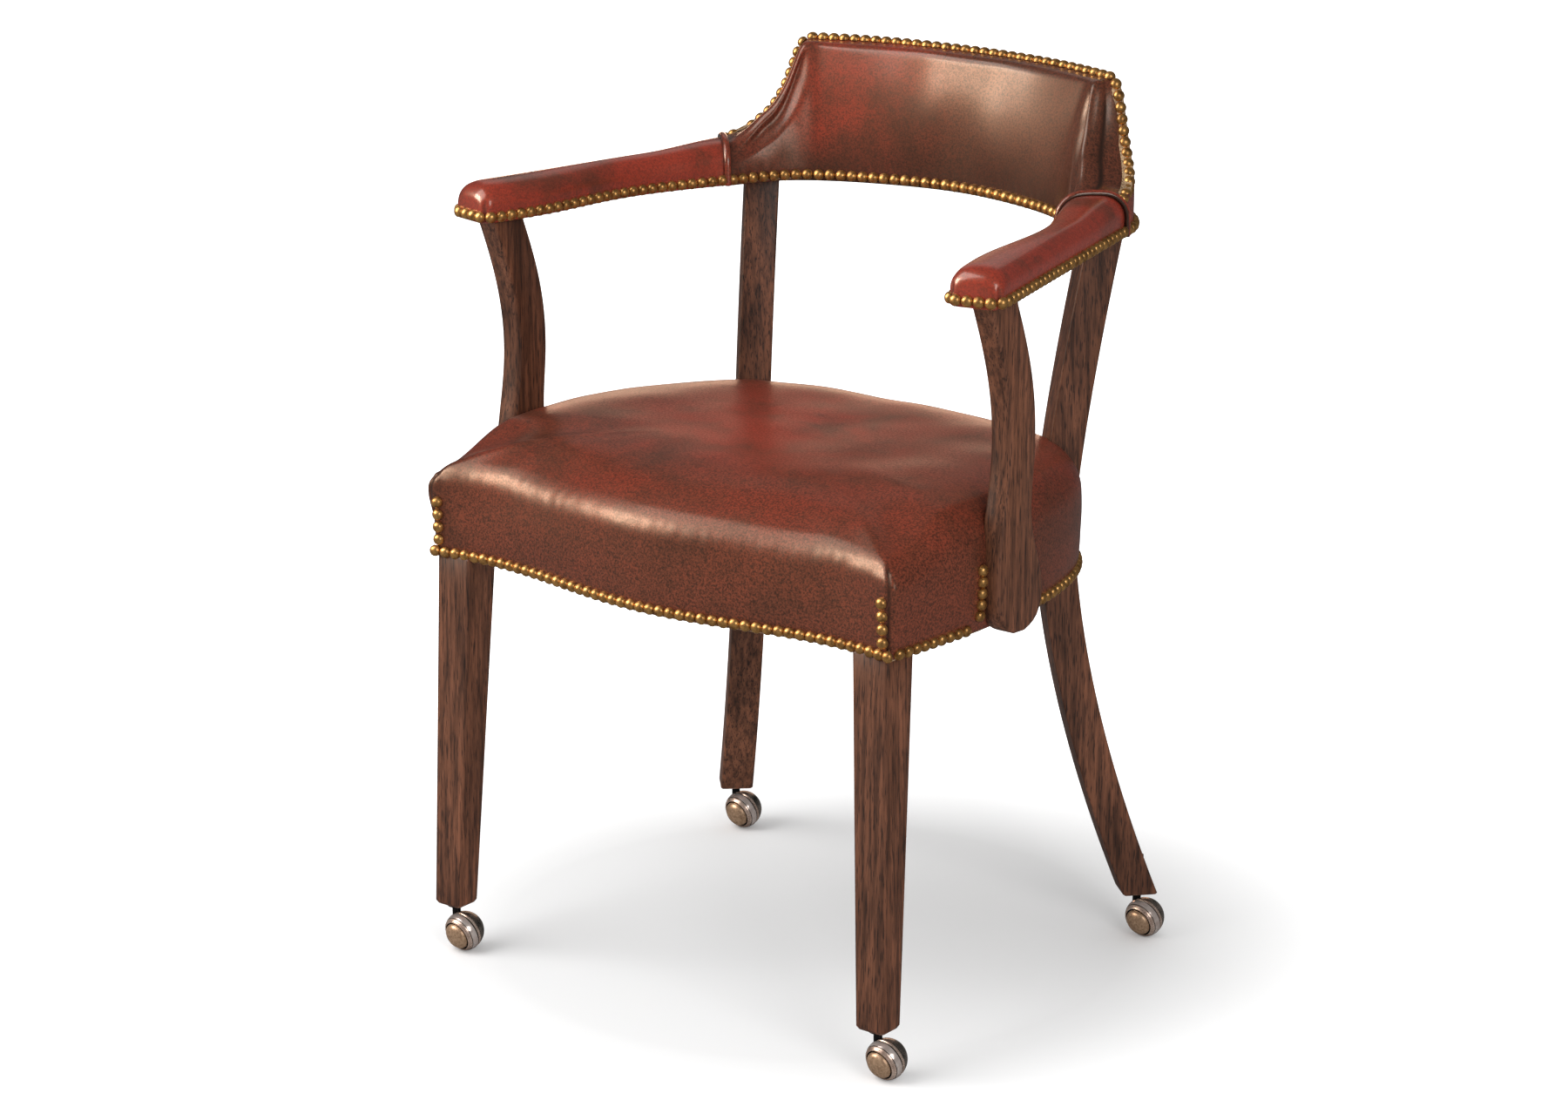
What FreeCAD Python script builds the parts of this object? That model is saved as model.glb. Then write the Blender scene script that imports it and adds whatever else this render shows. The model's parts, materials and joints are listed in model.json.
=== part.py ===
import FreeCAD, Part
import math
import os

from FreeCAD import Vector

# Captains chair on ball casters, in millimetres.
# The sitter faces minus Y, plus Z is up and the floor is at zero.

# Heights above the floor
leg_bottom_z = 44.2
rail_bottom_z = 388.5
rail_height = 58.0
seat_crown_z = 504.0
arm_bottom_z = 689.0
arm_top_z = 722.0
crest_z = 820.0

# Leather, padding and clearances
leather = 1.6
cut_gap = 0.3
cover_bulge = 5.0
bulge_share = 0.62
edge_round = 17.0
crown_rise = 16.0
padding_start = 14.0
edge_swing = 65.0
crown_reach = 150.0
crown_fall = 2.2

# Seat outline at the rail, half of it, with the front bowed
front_flat_y = -188.5
front_bow = 25.0
front_dip_x = 200.0
front_ear = 7.5
corner_x = 261.0
side_x = 273.0
side_full_y = -20.0
hip_x = 257.0
hip_y = 82.0
haunch_x = 229.0
haunch_y = 142.0
leg_recess = 4.5
rear_y = 213.0
rear_bow = 5.0
rail_thickness = 23.0

# Front legs, square and tapered
front_leg_top = 39.0
front_leg_bottom_x = 30.5
front_leg_bottom_y = 27.5
front_leg_splay = 5.0
front_leg_rake = 10.5

# Rear legs, one sabre piece each from the floor to the arms
rear_leg_width = 32.5
rear_leg_depth = 33.6
rear_leg_turn = 42.0
waist_z = 420.0
waist_x = 179.0
waist_y = 177.0
foot_out_x = 65.8
foot_out_y = 56.8
foot_sweep = 1.7
head_out_x = 19.5
head_out_y = 42.0
head_sweep = 1.3

# Arm supports bolted to the side rails
support_x = 270.0
support_thickness = 22.5
support_bottom_z = 381.0
support_waist_y = -41.0
support_waist_z = 548.0
support_width = 39.5
support_head_y = -73.0
support_foot_width = 68.0
support_foot_y = -41.0
support_foot_z = 415.0

# Yoke plan: outer line of arm, corner and crest
crest_half_width = 180.0
crest_corner_y = 268.5
crest_radius = 526.0
corner_radius = 85.0
corner_end_angle = 76.3
arm_front_y = -105.0

# Yoke plan: inner line of the arm and of the back
arm_nose_x = 262.0
arm_nose_y = -116.0
inner_waist_x = 233.5
inner_waist_y = 48.0
inner_seam_x = 190.0
inner_seam_y = 155.0
inner_bend_x = 156.0
inner_bend_y = 213.0
inner_back_x = 88.0
inner_back_y = 248.0
inner_mid_y = 264.5
inner_lead = 0.92

# Back and arm build
seam_distance = 92.0
crest_thickness = 23.0
wing_thickness = 52.0
yoke_thickness = 19.0
panel_thickness = 10.0
arm_shoulder = 15.0
arm_bow_x = 17.0
arm_bow_nose = 62.0
arm_bow_seam = 33.0
nose_round = 7.0

# Seat suspension
strip_width = 50.0
strip_thickness = 1.5
strip_count_long = 6
strip_count_cross = 5
strip_pitch = 69.0
strip_inset = 4.0
deck_inset = 2.0
deck_thickness = 1.2
dust_thickness = 1.0
dust_inset = 10.0
block_leg = 62.0
block_height = 40.0
block_drop = 6.0
rear_block_half = 20.0
rear_block_depth = 28.0

# Dowels, screws and nails
dowel_radius = 5.0
dowel_length = 44.0
upright_depth = 14.0
dowel_spread = 26.0
screw_radius = 2.2
screw_head_radius = 5.0
screw_head_height = 3.0
screw_bite = 16.0
screw_spread = 12.0
screw_low = 20.0
screw_high = 39.5
screw_sink = 1.0
nail_pitch = 10.9
nail_head_radius = 5.3
nail_head_height = 3.6
nail_shank_radius = 0.8
nail_length = 11.0
nail_rise = 5.8
corner_nails = 4
corner_nail_pitch = 12.0
column_inset = 0.5
leg_nail_gap = 3.0

# Ball casters
ball_radius = 19.1
caster_offset_x = 10.2
caster_offset_y = -0.9
wheel_tilt = 16.0
stem_radius = 4.0
stem_length = 34.0
socket_wall = 1.6
socket_flange_radius = 8.5
socket_flange = 1.4
running_gap = 0.05
axle_radius = 2.5
axle_head_radius = 4.2
axle_head = 1.6
axle_head_gap = 0.4
axle_seat = 1.0
wheel_gap = 0.4
cap_face = 9.0
cap_radius = 16.2
cap_dome = 8.2
cap_rim = 0.9
cap_rim_width = 2.2
hub_depth = 7.5
stem_collar_radius = 5.2

# Working values that follow from the sizes above
rail_top_z = rail_bottom_z + rail_height
yoke_top_z = arm_bottom_z + yoke_thickness
stem_top_gap = 2.0
far = 900.0
turn = math.radians(rear_leg_turn)
leg_pass_x = waist_x + math.sin(turn) * (rear_leg_depth / 2.0 - leg_recess)
leg_pass_y = waist_y + math.cos(turn) * (rear_leg_depth / 2.0 - leg_recess)
sides = {"right": 1.0, "left": -1.0}


def mirrored(shape):
    """The same shape on the other side of the centre plane."""
    return shape.mirror(Vector(0, 0, 0), Vector(1, 0, 0))


def on_side(shape, side):
    """The right-hand shape, or its mirror image for the left."""
    return shape if side > 0 else mirrored(shape)


def spline(points):
    """Smooth edge through points."""
    curve = Part.BSplineCurve()
    curve.interpolate(points)
    return curve.toShape()


def polygon(points):
    """Closed wire with straight sides."""
    return Part.makePolygon(points + [points[0]])


def box(low, high):
    """Box between two corners."""
    size = [b - a for a, b in zip(low, high)]
    return Part.makeBox(size[0], size[1], size[2], Vector(*low))


def loft(wires, ruled=False):
    """Solid through a row of closed wires."""
    return Part.makeLoft(wires, True, ruled)


def group(solids):
    """Separate solids that share one node."""
    return Part.makeCompound(solids)


def trimmed(shape, others):
    """The largest solid left of a shape once its neighbours' room is cut away."""
    left = shape.cut(others)
    return max(left.Solids, key=lambda s: s.Volume)


# Seat outline

def front_y(x):
    """Front edge of the seat at a distance from the centre plane."""
    along = abs(x)
    if along <= front_dip_x:
        wave = (1.0 + math.cos(math.pi * along / front_dip_x)) / 2.0
        return front_flat_y - front_bow * wave
    rise = (along - front_dip_x) / (corner_x - front_dip_x)
    return front_flat_y - front_ear * rise ** 2


def outline_parts():
    """Front, right, rear and left stretches of the outline as lists of x and y."""
    dip = [front_dip_x * i / 5.0 for i in range(6)]
    ear = [(front_dip_x + corner_x) / 2.0, corner_x]
    half = [(x, front_y(x)) for x in dip + ear]
    front = [(-x, y) for x, y in reversed(half[1:])] + half
    shoulder_y = (front_y(corner_x) + side_full_y) / 2.0
    right = [
        half[-1],
        (corner_x + 0.7 * (side_x - corner_x), shoulder_y),
        (side_x, side_full_y),
        (hip_x, hip_y),
        (haunch_x, haunch_y),
        (leg_pass_x, leg_pass_y),
    ]
    bend_y = rear_y - rear_bow
    rear = [right[-1], (leg_pass_x * 0.55, bend_y), (0.0, rear_y),
            (-leg_pass_x * 0.55, bend_y), (-leg_pass_x, leg_pass_y)]
    left = [(-x, y) for x, y in reversed(right)]
    return front, right, rear, left


def outline_wire(z, grow=0.0):
    """Closed outline at a height, grown outwards by a distance or drawn in when negative."""
    scale = 1.0 + grow / ((side_x + rear_y) / 2.0)
    edges = []
    for part in outline_parts():
        edges.append(spline([Vector(x * scale, y * scale, z) for x, y in part]))
    return Part.Wire(edges)


def outline_prism(low_z, high_z, grow=0.0):
    """Upright block with the seat's outline."""
    return Part.Face(outline_wire(low_z, grow)).extrude(Vector(0, 0, high_z - low_z))


def seat_body(inset):
    """Crowned seat from the rail's lower edge up, drawn in by a layer's thickness."""
    top = seat_crown_z - inset
    start = rail_bottom_z - (5.0 if inset else 0.0)
    wall_top = seat_crown_z - crown_rise - edge_round - inset
    levels = [(start, 0.0)]
    for i in range(1, 5):
        share = i / 4.0
        levels.append((rail_bottom_z + (wall_top - rail_bottom_z) * share,
                       cover_bulge * math.sin(math.pi * share * bulge_share)))
    wall_grow = levels[-1][1]
    for i in range(1, 4):
        angle = math.radians(edge_swing * i / 3.0)
        levels.append((wall_top + edge_round * math.sin(angle),
                       wall_grow - edge_round * (1.0 - math.cos(angle))))
    edge_z, edge_grow = levels[-1]
    for i in range(1, 6):
        share = i / 5.0
        levels.append((edge_z + (top - edge_z) * (1.0 - (1.0 - share) ** crown_fall),
                       edge_grow - crown_reach * share))
    return loft([outline_wire(z, grow - inset) for z, grow in levels], True)


# Rear legs

def rear_centre(z):
    """Centre of the right rear leg at a height."""
    if z <= waist_z:
        t = ((waist_z - z) / (waist_z - leg_bottom_z)) ** foot_sweep
        return waist_x + foot_out_x * t, waist_y + foot_out_y * t
    t = ((z - waist_z) / (arm_bottom_z - waist_z)) ** head_sweep
    return waist_x + head_out_x * t, waist_y + head_out_y * t


def leg_axes():
    """Unit directions across and along the turned section of a rear leg."""
    across = Vector(math.cos(turn), -math.sin(turn), 0)
    along = Vector(math.sin(turn), math.cos(turn), 0)
    return across, along


def rear_section(z, grow=0.0, inward=0.0):
    """Turned rectangle of the right rear leg at a height, grown or made deeper towards the seat."""
    across, along = leg_axes()
    x, y = rear_centre(z)
    centre = Vector(x, y, z)
    half_w = across * (rear_leg_width / 2.0 + grow)
    half_d = along * (rear_leg_depth / 2.0 + grow)
    deep = half_d + along * inward
    return polygon([centre - half_w - deep, centre + half_w - deep,
                    centre + half_w + half_d, centre - half_w + half_d])


def rear_leg_solid(grow=0.0):
    """Right rear leg from its foot to the arm."""
    lower = [leg_bottom_z + (waist_z - leg_bottom_z) * i / 4.0 for i in range(5)]
    upper = [waist_z + (arm_bottom_z - waist_z) * i / 3.0 for i in range(1, 4)]
    return loft([rear_section(z, grow) for z in lower + upper])


# Front legs

def front_leg_box(z):
    """Low and high corner of the right front leg's section at a height."""
    t = max(0.0, (rail_bottom_z - z) / (rail_bottom_z - leg_bottom_z))
    outer_x = corner_x - leather + front_leg_splay * t
    front = front_y(corner_x) + leather - front_leg_rake * t
    width = front_leg_top + (front_leg_bottom_x - front_leg_top) * t
    depth = front_leg_top + (front_leg_bottom_y - front_leg_top) * t
    return outer_x - width, front, outer_x, front + depth


def front_section(z):
    """Square section of the right front leg at a height."""
    x0, y0, x1, y1 = front_leg_box(z)
    return polygon([Vector(x0, y0, z), Vector(x1, y0, z), Vector(x1, y1, z), Vector(x0, y1, z)])


def front_leg_solid():
    """Right front leg, its head cut to the outline of the rails."""
    lower = loft([front_section(leg_bottom_z), front_section(rail_bottom_z)], True)
    foot_edges = [e for e in lower.Edges if e.BoundBox.ZMax < leg_bottom_z + 1.0]
    lower = lower.makeChamfer(2.0, foot_edges)
    x0, y0, x1, y1 = front_leg_box(rail_bottom_z)
    head = box((x0, y0, rail_bottom_z), (x1, y1, rail_top_z))
    head = head.common(outline_prism(rail_bottom_z, rail_top_z, -leather))
    return lower.fuse(head).removeSplitter()


# Rails, blocks, dowels and screws

def rail_parts():
    """Front, rear and side rails cut from one ring between the four legs."""
    ring = outline_prism(rail_bottom_z, rail_top_z, -leather)
    ring = ring.cut(outline_prism(rail_bottom_z, rail_top_z, -leather - rail_thickness))
    ends = [rail_bottom_z - 1.0, waist_z, rail_top_z + 1.0]
    rear_gap = loft([rear_section(z, 0.0, rail_thickness) for z in ends], True)
    for side in sides.values():
        ring = ring.cut(on_side(rear_leg_solid(), side))
        ring = ring.cut(on_side(rear_gap, side))
        ring = ring.cut(on_side(front_leg_solid(), side))
        face_x = side * support_x
        ring = ring.cut(box((min(face_x, side * far), support_foot_y - support_foot_width, rail_bottom_z),
                            (max(face_x, side * far), support_foot_y + support_foot_width, rail_top_z)))
    named = {}
    for solid in sorted(ring.Solids, key=lambda s: s.Volume, reverse=True):
        at = solid.CenterOfMass
        if abs(at.x) < front_leg_top:
            name = "front_rail" if at.y < 0 else "rear_rail"
        else:
            name = "side_rail_right" if at.x > 0 else "side_rail_left"
        named.setdefault(name, solid)
    return named


def corner_block(side, front):
    """Three cornered glue block behind a front leg, or a smaller wedge inside a rear leg."""
    low = rail_top_z - block_height - block_drop
    if front:
        x0, y0, x1, y1 = front_leg_box(rail_bottom_z)
        corner = Vector(x0, y1, low)
        points = [corner, corner + Vector(-block_leg, 0, 0), corner + Vector(0, block_leg, 0)]
    else:
        across, along = leg_axes()
        corner = Vector(waist_x, waist_y, low) - along * (rear_leg_depth / 2.0 + cut_gap)
        near = across * (rear_leg_width / 2.0 - cut_gap)
        back = corner - along * rear_block_depth
        half = across * rear_block_half
        points = [corner - near, corner + near, back + half, back - half]
    block = Part.Face(polygon(points)).extrude(Vector(0, 0, block_height))
    return on_side(block, side)


def rod(start, direction, length, radius):
    """Round rod from a start point."""
    return Part.makeCylinder(radius, length, start, direction)


def frame_dowels():
    """Dowels of the seat frame and of the arms, as separate solids."""
    rods = []
    middle = rail_bottom_z + rail_height / 2.0
    heights = [middle - dowel_spread / 2.0, middle + dowel_spread / 2.0]
    x0, y0, x1, y1 = front_leg_box(rail_bottom_z)
    depth = front_y(x0) + leather + rail_thickness / 2.0
    inner_x = corner_x - leather - rail_thickness / 2.0
    across, along = leg_axes()
    for z in heights:
        x, y = rear_centre(z)
        centre = Vector(x, y, z)
        rods.append(rod(Vector(x0 - dowel_length / 2.0, depth, z), Vector(1, 0, 0),
                        dowel_length, dowel_radius))
        rods.append(rod(Vector(inner_x, y1 - dowel_length / 2.0, z + 2.4 * dowel_radius - dowel_spread / 2.0),
                        Vector(0, 1, 0), dowel_length, dowel_radius))
        out = centre + across * (rear_leg_width / 2.0 - dowel_length / 3.0)
        rods.append(rod(out, across, dowel_length * 0.75, dowel_radius))
        rear_mid = Vector(leg_pass_x * 0.75, rear_y - 2.0 * rear_bow - rail_thickness / 2.0, z)
        inwards = (rear_mid - centre).normalize()
        rods.append(rod(centre + inwards * 3.0, inwards, dowel_length * 0.75, dowel_radius))
    return [on_side(r, side) for side in sides.values() for r in rods]


def arm_dowels():
    """Upright dowels that join supports and rear legs to the yoke above them."""
    rods = []
    head_y = support_head_y
    middle_x = support_x + support_thickness / 2.0
    x, y = rear_centre(arm_bottom_z)
    across, along = leg_axes()
    spread = along * (rear_leg_depth / 4.0)
    centre = Vector(x, y, 0)
    radius = dowel_radius * 0.7
    for at in (Vector(middle_x, head_y - 5.0, 0), Vector(middle_x, head_y + 9.0, 0),
               centre - spread * 1.3, centre + spread * 0.7):
        start = Vector(at.x, at.y, arm_bottom_z - upright_depth)
        rods.append(rod(start, Vector(0, 0, 1), upright_depth + yoke_thickness - 4.0, radius))
    return [on_side(r, side) for side in sides.values() for r in rods]


def support_screws():
    """Two screws from inside each side rail into its arm support, as separate solids."""
    rail_inner = side_x - leather - rail_thickness
    screws = []
    for y, rise in ((support_foot_y - screw_spread, screw_low), (support_foot_y + screw_spread, screw_high)):
        start = Vector(rail_inner + screw_sink, y, rail_bottom_z + rise)
        length = support_x + screw_bite - start.x
        shank = rod(start, Vector(1, 0, 0), length, screw_radius)
        head = rod(start, Vector(1, 0, 0), screw_head_height, screw_head_radius)
        screws.append(shank.fuse(head).removeSplitter())
    return [on_side(s, side) for side in sides.values() for s in screws]


# Arm supports

def support_solid(grow=0.0):
    """Right arm support: a board with a curved front and back edge and a rounded foot."""
    foot_half = support_foot_width / 2.0 + grow
    waist_half = support_width / 2.0 + grow
    foot_front = Vector(0, support_foot_y - foot_half, support_foot_z + 12.0)
    foot_back = Vector(0, support_foot_y + foot_half, support_foot_z)
    head_front = Vector(0, support_head_y - waist_half - 1.5, arm_bottom_z)
    head_back = Vector(0, support_head_y + waist_half, arm_bottom_z)
    neck_z = (support_waist_z + arm_bottom_z) / 2.0
    front = spline([
        head_front,
        Vector(0, support_waist_y - waist_half - 8.0, neck_z),
        Vector(0, support_waist_y - waist_half, support_waist_z),
        Vector(0, support_foot_y - foot_half + 4.0, (support_foot_z + support_waist_z) / 2.0),
        foot_front,
    ])
    foot = spline([
        foot_front,
        Vector(0, support_foot_y - foot_half * 0.72, support_bottom_z + 13.0 - grow),
        Vector(0, support_foot_y, support_bottom_z - grow),
        Vector(0, support_foot_y + foot_half * 0.80, support_bottom_z + 12.0 - grow),
        foot_back,
    ])
    back = spline([
        foot_back,
        Vector(0, support_waist_y + waist_half - 1.5, (support_foot_z + support_waist_z) / 2.0 - 8.0),
        Vector(0, support_waist_y + waist_half, support_waist_z),
        Vector(0, support_waist_y + waist_half - 7.0, neck_z),
        head_back,
    ])
    top = Part.makeLine(head_back, head_front)
    board = Part.Face(Part.Wire([front, foot, back, top])).extrude(Vector(support_thickness, 0, 0))
    board.translate(Vector(support_x, 0, 0))
    return board


# Yoke plan

def crest_end():
    """Angle at which the crest meets its corner, from its radius and half width."""
    return math.asin(crest_half_width / crest_radius)


def outer_at(distance):
    """Outer line of the yoke from the crest corner forwards: point and outward direction."""
    start = crest_end()
    end = math.radians(corner_end_angle)
    centre = Vector(crest_half_width, crest_corner_y, 0)
    centre = centre - Vector(math.sin(start), math.cos(start), 0) * corner_radius
    angle = start + distance / corner_radius
    if distance < 0.0:
        centre = Vector(0, crest_corner_y - crest_radius * math.cos(start), 0)
        angle = start + distance / crest_radius
        out = Vector(math.sin(angle), math.cos(angle), 0)
        return centre + out * crest_radius, out
    if angle <= end:
        out = Vector(math.sin(angle), math.cos(angle), 0)
        return centre + out * corner_radius, out
    out = Vector(math.sin(end), math.cos(end), 0)
    run = distance - corner_radius * (end - start)
    forward = Vector(math.cos(end), -math.sin(end), 0)
    return centre + out * corner_radius + forward * run, out


def crest_length():
    """Half length of the crest's outer line."""
    return crest_radius * crest_end()


def arm_length():
    """Distance along the outer line from the crest corner to the nose of the arm."""
    low = outer_at(seam_distance)[0]
    forward = math.sin(math.radians(corner_end_angle))
    return seam_distance + (low.y - arm_front_y) / forward


def inner_curve():
    """Inner line of the right half of the back, from the seam to the centre plane."""
    return spline([
        Vector(inner_seam_x, inner_seam_y, 0),
        Vector(inner_bend_x, inner_bend_y, 0),
        Vector(inner_back_x, inner_back_y, 0),
        Vector(0, inner_mid_y, 0),
        Vector(-inner_back_x, inner_back_y, 0),
    ]).Curve


def inner_point(distance):
    """Inner point of the back that faces a point of the outer line."""
    curve = inner_curve()
    half = curve.parameter(Vector(0, inner_mid_y, 0))
    share = (seam_distance - distance) / (seam_distance + crest_length())
    lead = share ** inner_lead
    return curve.value(curve.FirstParameter + (half - curve.FirstParameter) * lead)


def wing_drop(distance):
    """How far the top edge lies under the crest, along the outer line."""
    reach = [(0.0, 0.0), (8.0, 0.07), (18.0, 0.34), (27.0, 0.53), (40.0, 0.70), (65.0, 0.87), (92.0, 0.95)]
    full = crest_z - arm_top_z
    if distance <= 0.0:
        return 0.0
    for (d0, f0), (d1, f1) in zip(reach, reach[1:]):
        if distance <= d1:
            return full * (f0 + (f1 - f0) * (distance - d0) / (d1 - d0))
    return full * reach[-1][1]


def top_thickness(distance):
    """Thickness of the padded edge from the crest to the seam at the arm."""
    if distance <= 0.0:
        return crest_thickness
    t = min(1.0, distance / (seam_distance * 0.6))
    return crest_thickness + (wing_thickness - crest_thickness) * math.sin(t * math.pi / 2.0) ** 0.7


def back_corners(distance, layer):
    """Outer low, outer top, inner top and inner low corner of a slice, one layer in."""
    outer, out = outer_at(distance)
    inner = inner_point(distance)
    across = (outer - inner).normalize()
    top = crest_z - wing_drop(distance) - layer
    edge = outer - across * top_thickness(distance)
    side = across * layer
    lift = Vector(0, 0, 1)
    return (outer - side + lift * arm_bottom_z, outer - side + lift * top,
            edge + side + lift * top, inner + side + lift * arm_bottom_z)


def back_stations():
    """Distances along the outer line of the slices of a wing and of half the crest."""
    wing = [seam_distance, 65.0, 40.0, 27.0, 18.0, 8.0, 0.0]
    crest = [-crest_length() * i / 4.0 for i in range(5)]
    return wing, crest


def back_loft(slice_wire):
    """Whole back from slices: two wings and the crest between them."""
    wing, crest = back_stations()
    right = loft([slice_wire(d, 1.0) for d in wing])
    middle_row = [slice_wire(d, 1.0) for d in crest[:-1]] + [slice_wire(d, -1.0) for d in reversed(crest)]
    middle = loft(middle_row)
    return right.fuse([middle, mirrored(right)])


def flip(points, side):
    """Points on the right, or their mirror images on the left."""
    return [Vector(p.x * side, p.y, p.z) for p in points]


def foam_slice(distance, side):
    """Slice of the padding above the bent rail and inside the panel."""
    a, b, c, d = back_corners(distance, leather + cut_gap)
    share = yoke_thickness / (c.z - d.z)
    room = Vector(c.x - b.x, c.y - b.y, 0).normalize() * (panel_thickness + cut_gap)
    low_outer = Vector(a.x, a.y, yoke_top_z) + room
    return polygon(flip([low_outer, b + room, c, d + (c - d) * share], side))


def panel_slice(distance, side):
    """Slice of the curved panel behind the padding."""
    a, b, c, d = back_corners(distance, leather + cut_gap)
    across = Vector(b.x - c.x, b.y - c.y, 0).normalize() * panel_thickness
    low = Vector(0, 0, yoke_top_z - a.z)
    return polygon(flip([a + low, b, b - across, a - across + low], side))


def inside_slice(distance, side):
    """Slice of the leather over the inside of the back and its padded edge."""
    a, b, c, d = back_corners(distance, 0.0)
    a1, b1, c1, d1 = back_corners(distance, leather)
    return polygon(flip([d, c, b, Vector(b.x, b.y, b1.z), c1, d1], side))


def outside_slice(distance, side):
    """Slice of the leather over the outside of the back."""
    a, b, c, d = back_corners(distance, 0.0)
    a1, b1, c1, d1 = back_corners(distance, leather)
    top = Vector(b.x, b.y, b1.z)
    return polygon(flip([a, top, b1, a1], side))


def yoke_slice(distance, side):
    """Slice of the bent rail that carries the back."""
    a, b, c, d = back_corners(distance, leather + cut_gap)
    lift = Vector(0, 0, yoke_thickness)
    share = yoke_thickness / (c.z - d.z)
    return polygon(flip([a, a + lift, d + (c - d) * share, d], side))


# Arms

def arm_inner_curve():
    """Inner line of the right arm, from its nose to the seam."""
    return spline([
        Vector(arm_nose_x, arm_nose_y, 0),
        Vector(arm_nose_x - arm_bow_x, arm_nose_y + arm_bow_nose, 0),
        Vector(inner_waist_x, inner_waist_y, 0),
        Vector(inner_seam_x + arm_bow_x, inner_seam_y - arm_bow_seam, 0),
        Vector(inner_seam_x, inner_seam_y, 0),
    ]).Curve


def arm_slice(share, layer, low_z, run_out=0.0):
    """Slice of the right arm from nose to seam, domed on top, one layer in."""
    curve = arm_inner_curve()
    inner = curve.value(curve.FirstParameter + (curve.LastParameter - curve.FirstParameter) * share)
    distance = arm_length() + (seam_distance - arm_length()) * share
    outer = outer_at(distance)[0]
    across = (outer - inner).normalize()
    along = Vector(-across.y, across.x, 0)
    shift = along * run_out
    inner = inner + across * layer + shift
    outer = outer - across * layer + shift
    nose = nose_round * max(0.0, 1.0 - share * 9.0)
    seam_rise = (crest_z - wing_drop(seam_distance) - arm_top_z) * max(0.0, share - 0.7) / 0.3
    top = arm_top_z - layer - nose + seam_rise
    shoulder = top - arm_shoulder + layer
    middle = (inner + outer) * 0.5
    a = inner + Vector(0, 0, low_z)
    b = inner + Vector(0, 0, shoulder)
    m = middle + Vector(0, 0, top)
    c = outer + Vector(0, 0, shoulder)
    d = outer + Vector(0, 0, low_z)
    return Part.Wire([Part.makeLine(a, b), Part.Arc(b, m, c).toShape(),
                      Part.makeLine(c, d), Part.makeLine(d, a)])


def arm_body(layer, low_z):
    """Right arm with its domed top; an inner layer stops short of the nose and runs past the seam."""
    shares = [0.0, 0.04, 0.12, 0.3, 0.5, 0.7, 0.86, 1.0]
    wires = []
    for share in shares:
        run = layer if share == shares[0] else 0.0
        if share == shares[-1]:
            run = -cut_gap + layer * 0.01
        wires.append(arm_slice(share, layer, low_z, run))
    return loft(wires)


# Nails

def dome_arc(rim, height):
    """Arc from a rim point up to the crown of a dome centred on the Z axis."""
    sphere = (rim.x ** 2 + height ** 2) / (2.0 * height)
    swing = math.asin(rim.x / sphere) / 2.0
    crown = Vector(0, 0, rim.z + height)
    mid = Vector(sphere * math.sin(swing), 0, crown.z - sphere * (1.0 - math.cos(swing)))
    return Part.Arc(rim, mid, crown).toShape(), crown


def nail(at, out):
    """Domed upholstery nail: a head on the surface and a shank behind it."""
    rim = Vector(nail_head_radius, 0, 0)
    neck = Vector(nail_shank_radius, 0, 0)
    tip = Vector(0, 0, -nail_length)
    arc, crown = dome_arc(rim, nail_head_height)
    shank = [Part.makeLine(crown, tip), Part.makeLine(tip, neck), Part.makeLine(neck, rim)]
    solid = turned_profile([arc] + shank)
    solid.Placement = FreeCAD.Placement(at, FreeCAD.Rotation(Vector(0, 0, 1), out))
    return solid


def nails_along(edge, first=0.5, last=0.5, tilt_up=0.0, inward=False):
    """Nails at even pitch on a level or rising edge, pointing away from it."""
    count = max(2, int(round((edge.Length - (first + last - 1.0) * nail_pitch) / nail_pitch)))
    solids = []
    for i in range(count):
        along = (first + i) / (count - 1.0 + first + last) * edge.Length
        param = edge.getParameterByLength(along)
        at = edge.valueAt(param)
        ahead = edge.tangentAt(param)
        side = Vector(0, 0, 1).cross(ahead) if inward else ahead.cross(Vector(0, 0, 1))
        out = side.normalize() + Vector(0, 0, math.tan(math.radians(tilt_up)))
        solids.append(nail(at, out.normalize()))
    return solids


def seat_nails():
    """Row round the seat's lower edge, columns on the front corners and beside the supports."""
    z = rail_bottom_z + nail_rise
    solids = []
    front, right, rear, left = [
        spline([Vector(x, y, z) for x, y in part]) for part in outline_parts()]
    solids += nails_along(front, 0.2, 0.2)
    gap = support_foot_width / 2.0 + nail_head_radius + 1.0
    leg_gap = rear_leg_width / 2.0 + nail_head_radius + leg_nail_gap
    side_nails = []
    for one in nails_along(right, 0.9, 0.5):
        at = one.Placement.Base
        by_foot = abs(at.y - support_foot_y) < gap
        x, y = rear_centre(z)
        if not by_foot and math.hypot(at.x - x, at.y - y) > leg_gap:
            side_nails.append(one)
    for i in range(1, corner_nails + 1):
        at = Vector(corner_x - nail_head_radius - column_inset, front_y(corner_x) - column_inset,
                    z + i * corner_nail_pitch)
        side_nails.append(nail(at, Vector(0, -1, 0)))
    beside_y = support_foot_y - gap
    for i in range(1, corner_nails + 2):
        at = Vector(side_x - column_inset, beside_y + column_inset, z + i * corner_nail_pitch)
        side_nails.append(nail(at, Vector(1, 0, 0)))
    for one in side_nails:
        solids.append(one)
        solids.append(mirrored(one))
    for one in nails_along(rear, 1.0, 1.0):
        at = one.Placement.Base
        x, y = rear_centre(z)
        if math.hypot(abs(at.x) - x, at.y - y) > leg_gap:
            solids.append(one)
    return solids


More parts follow.
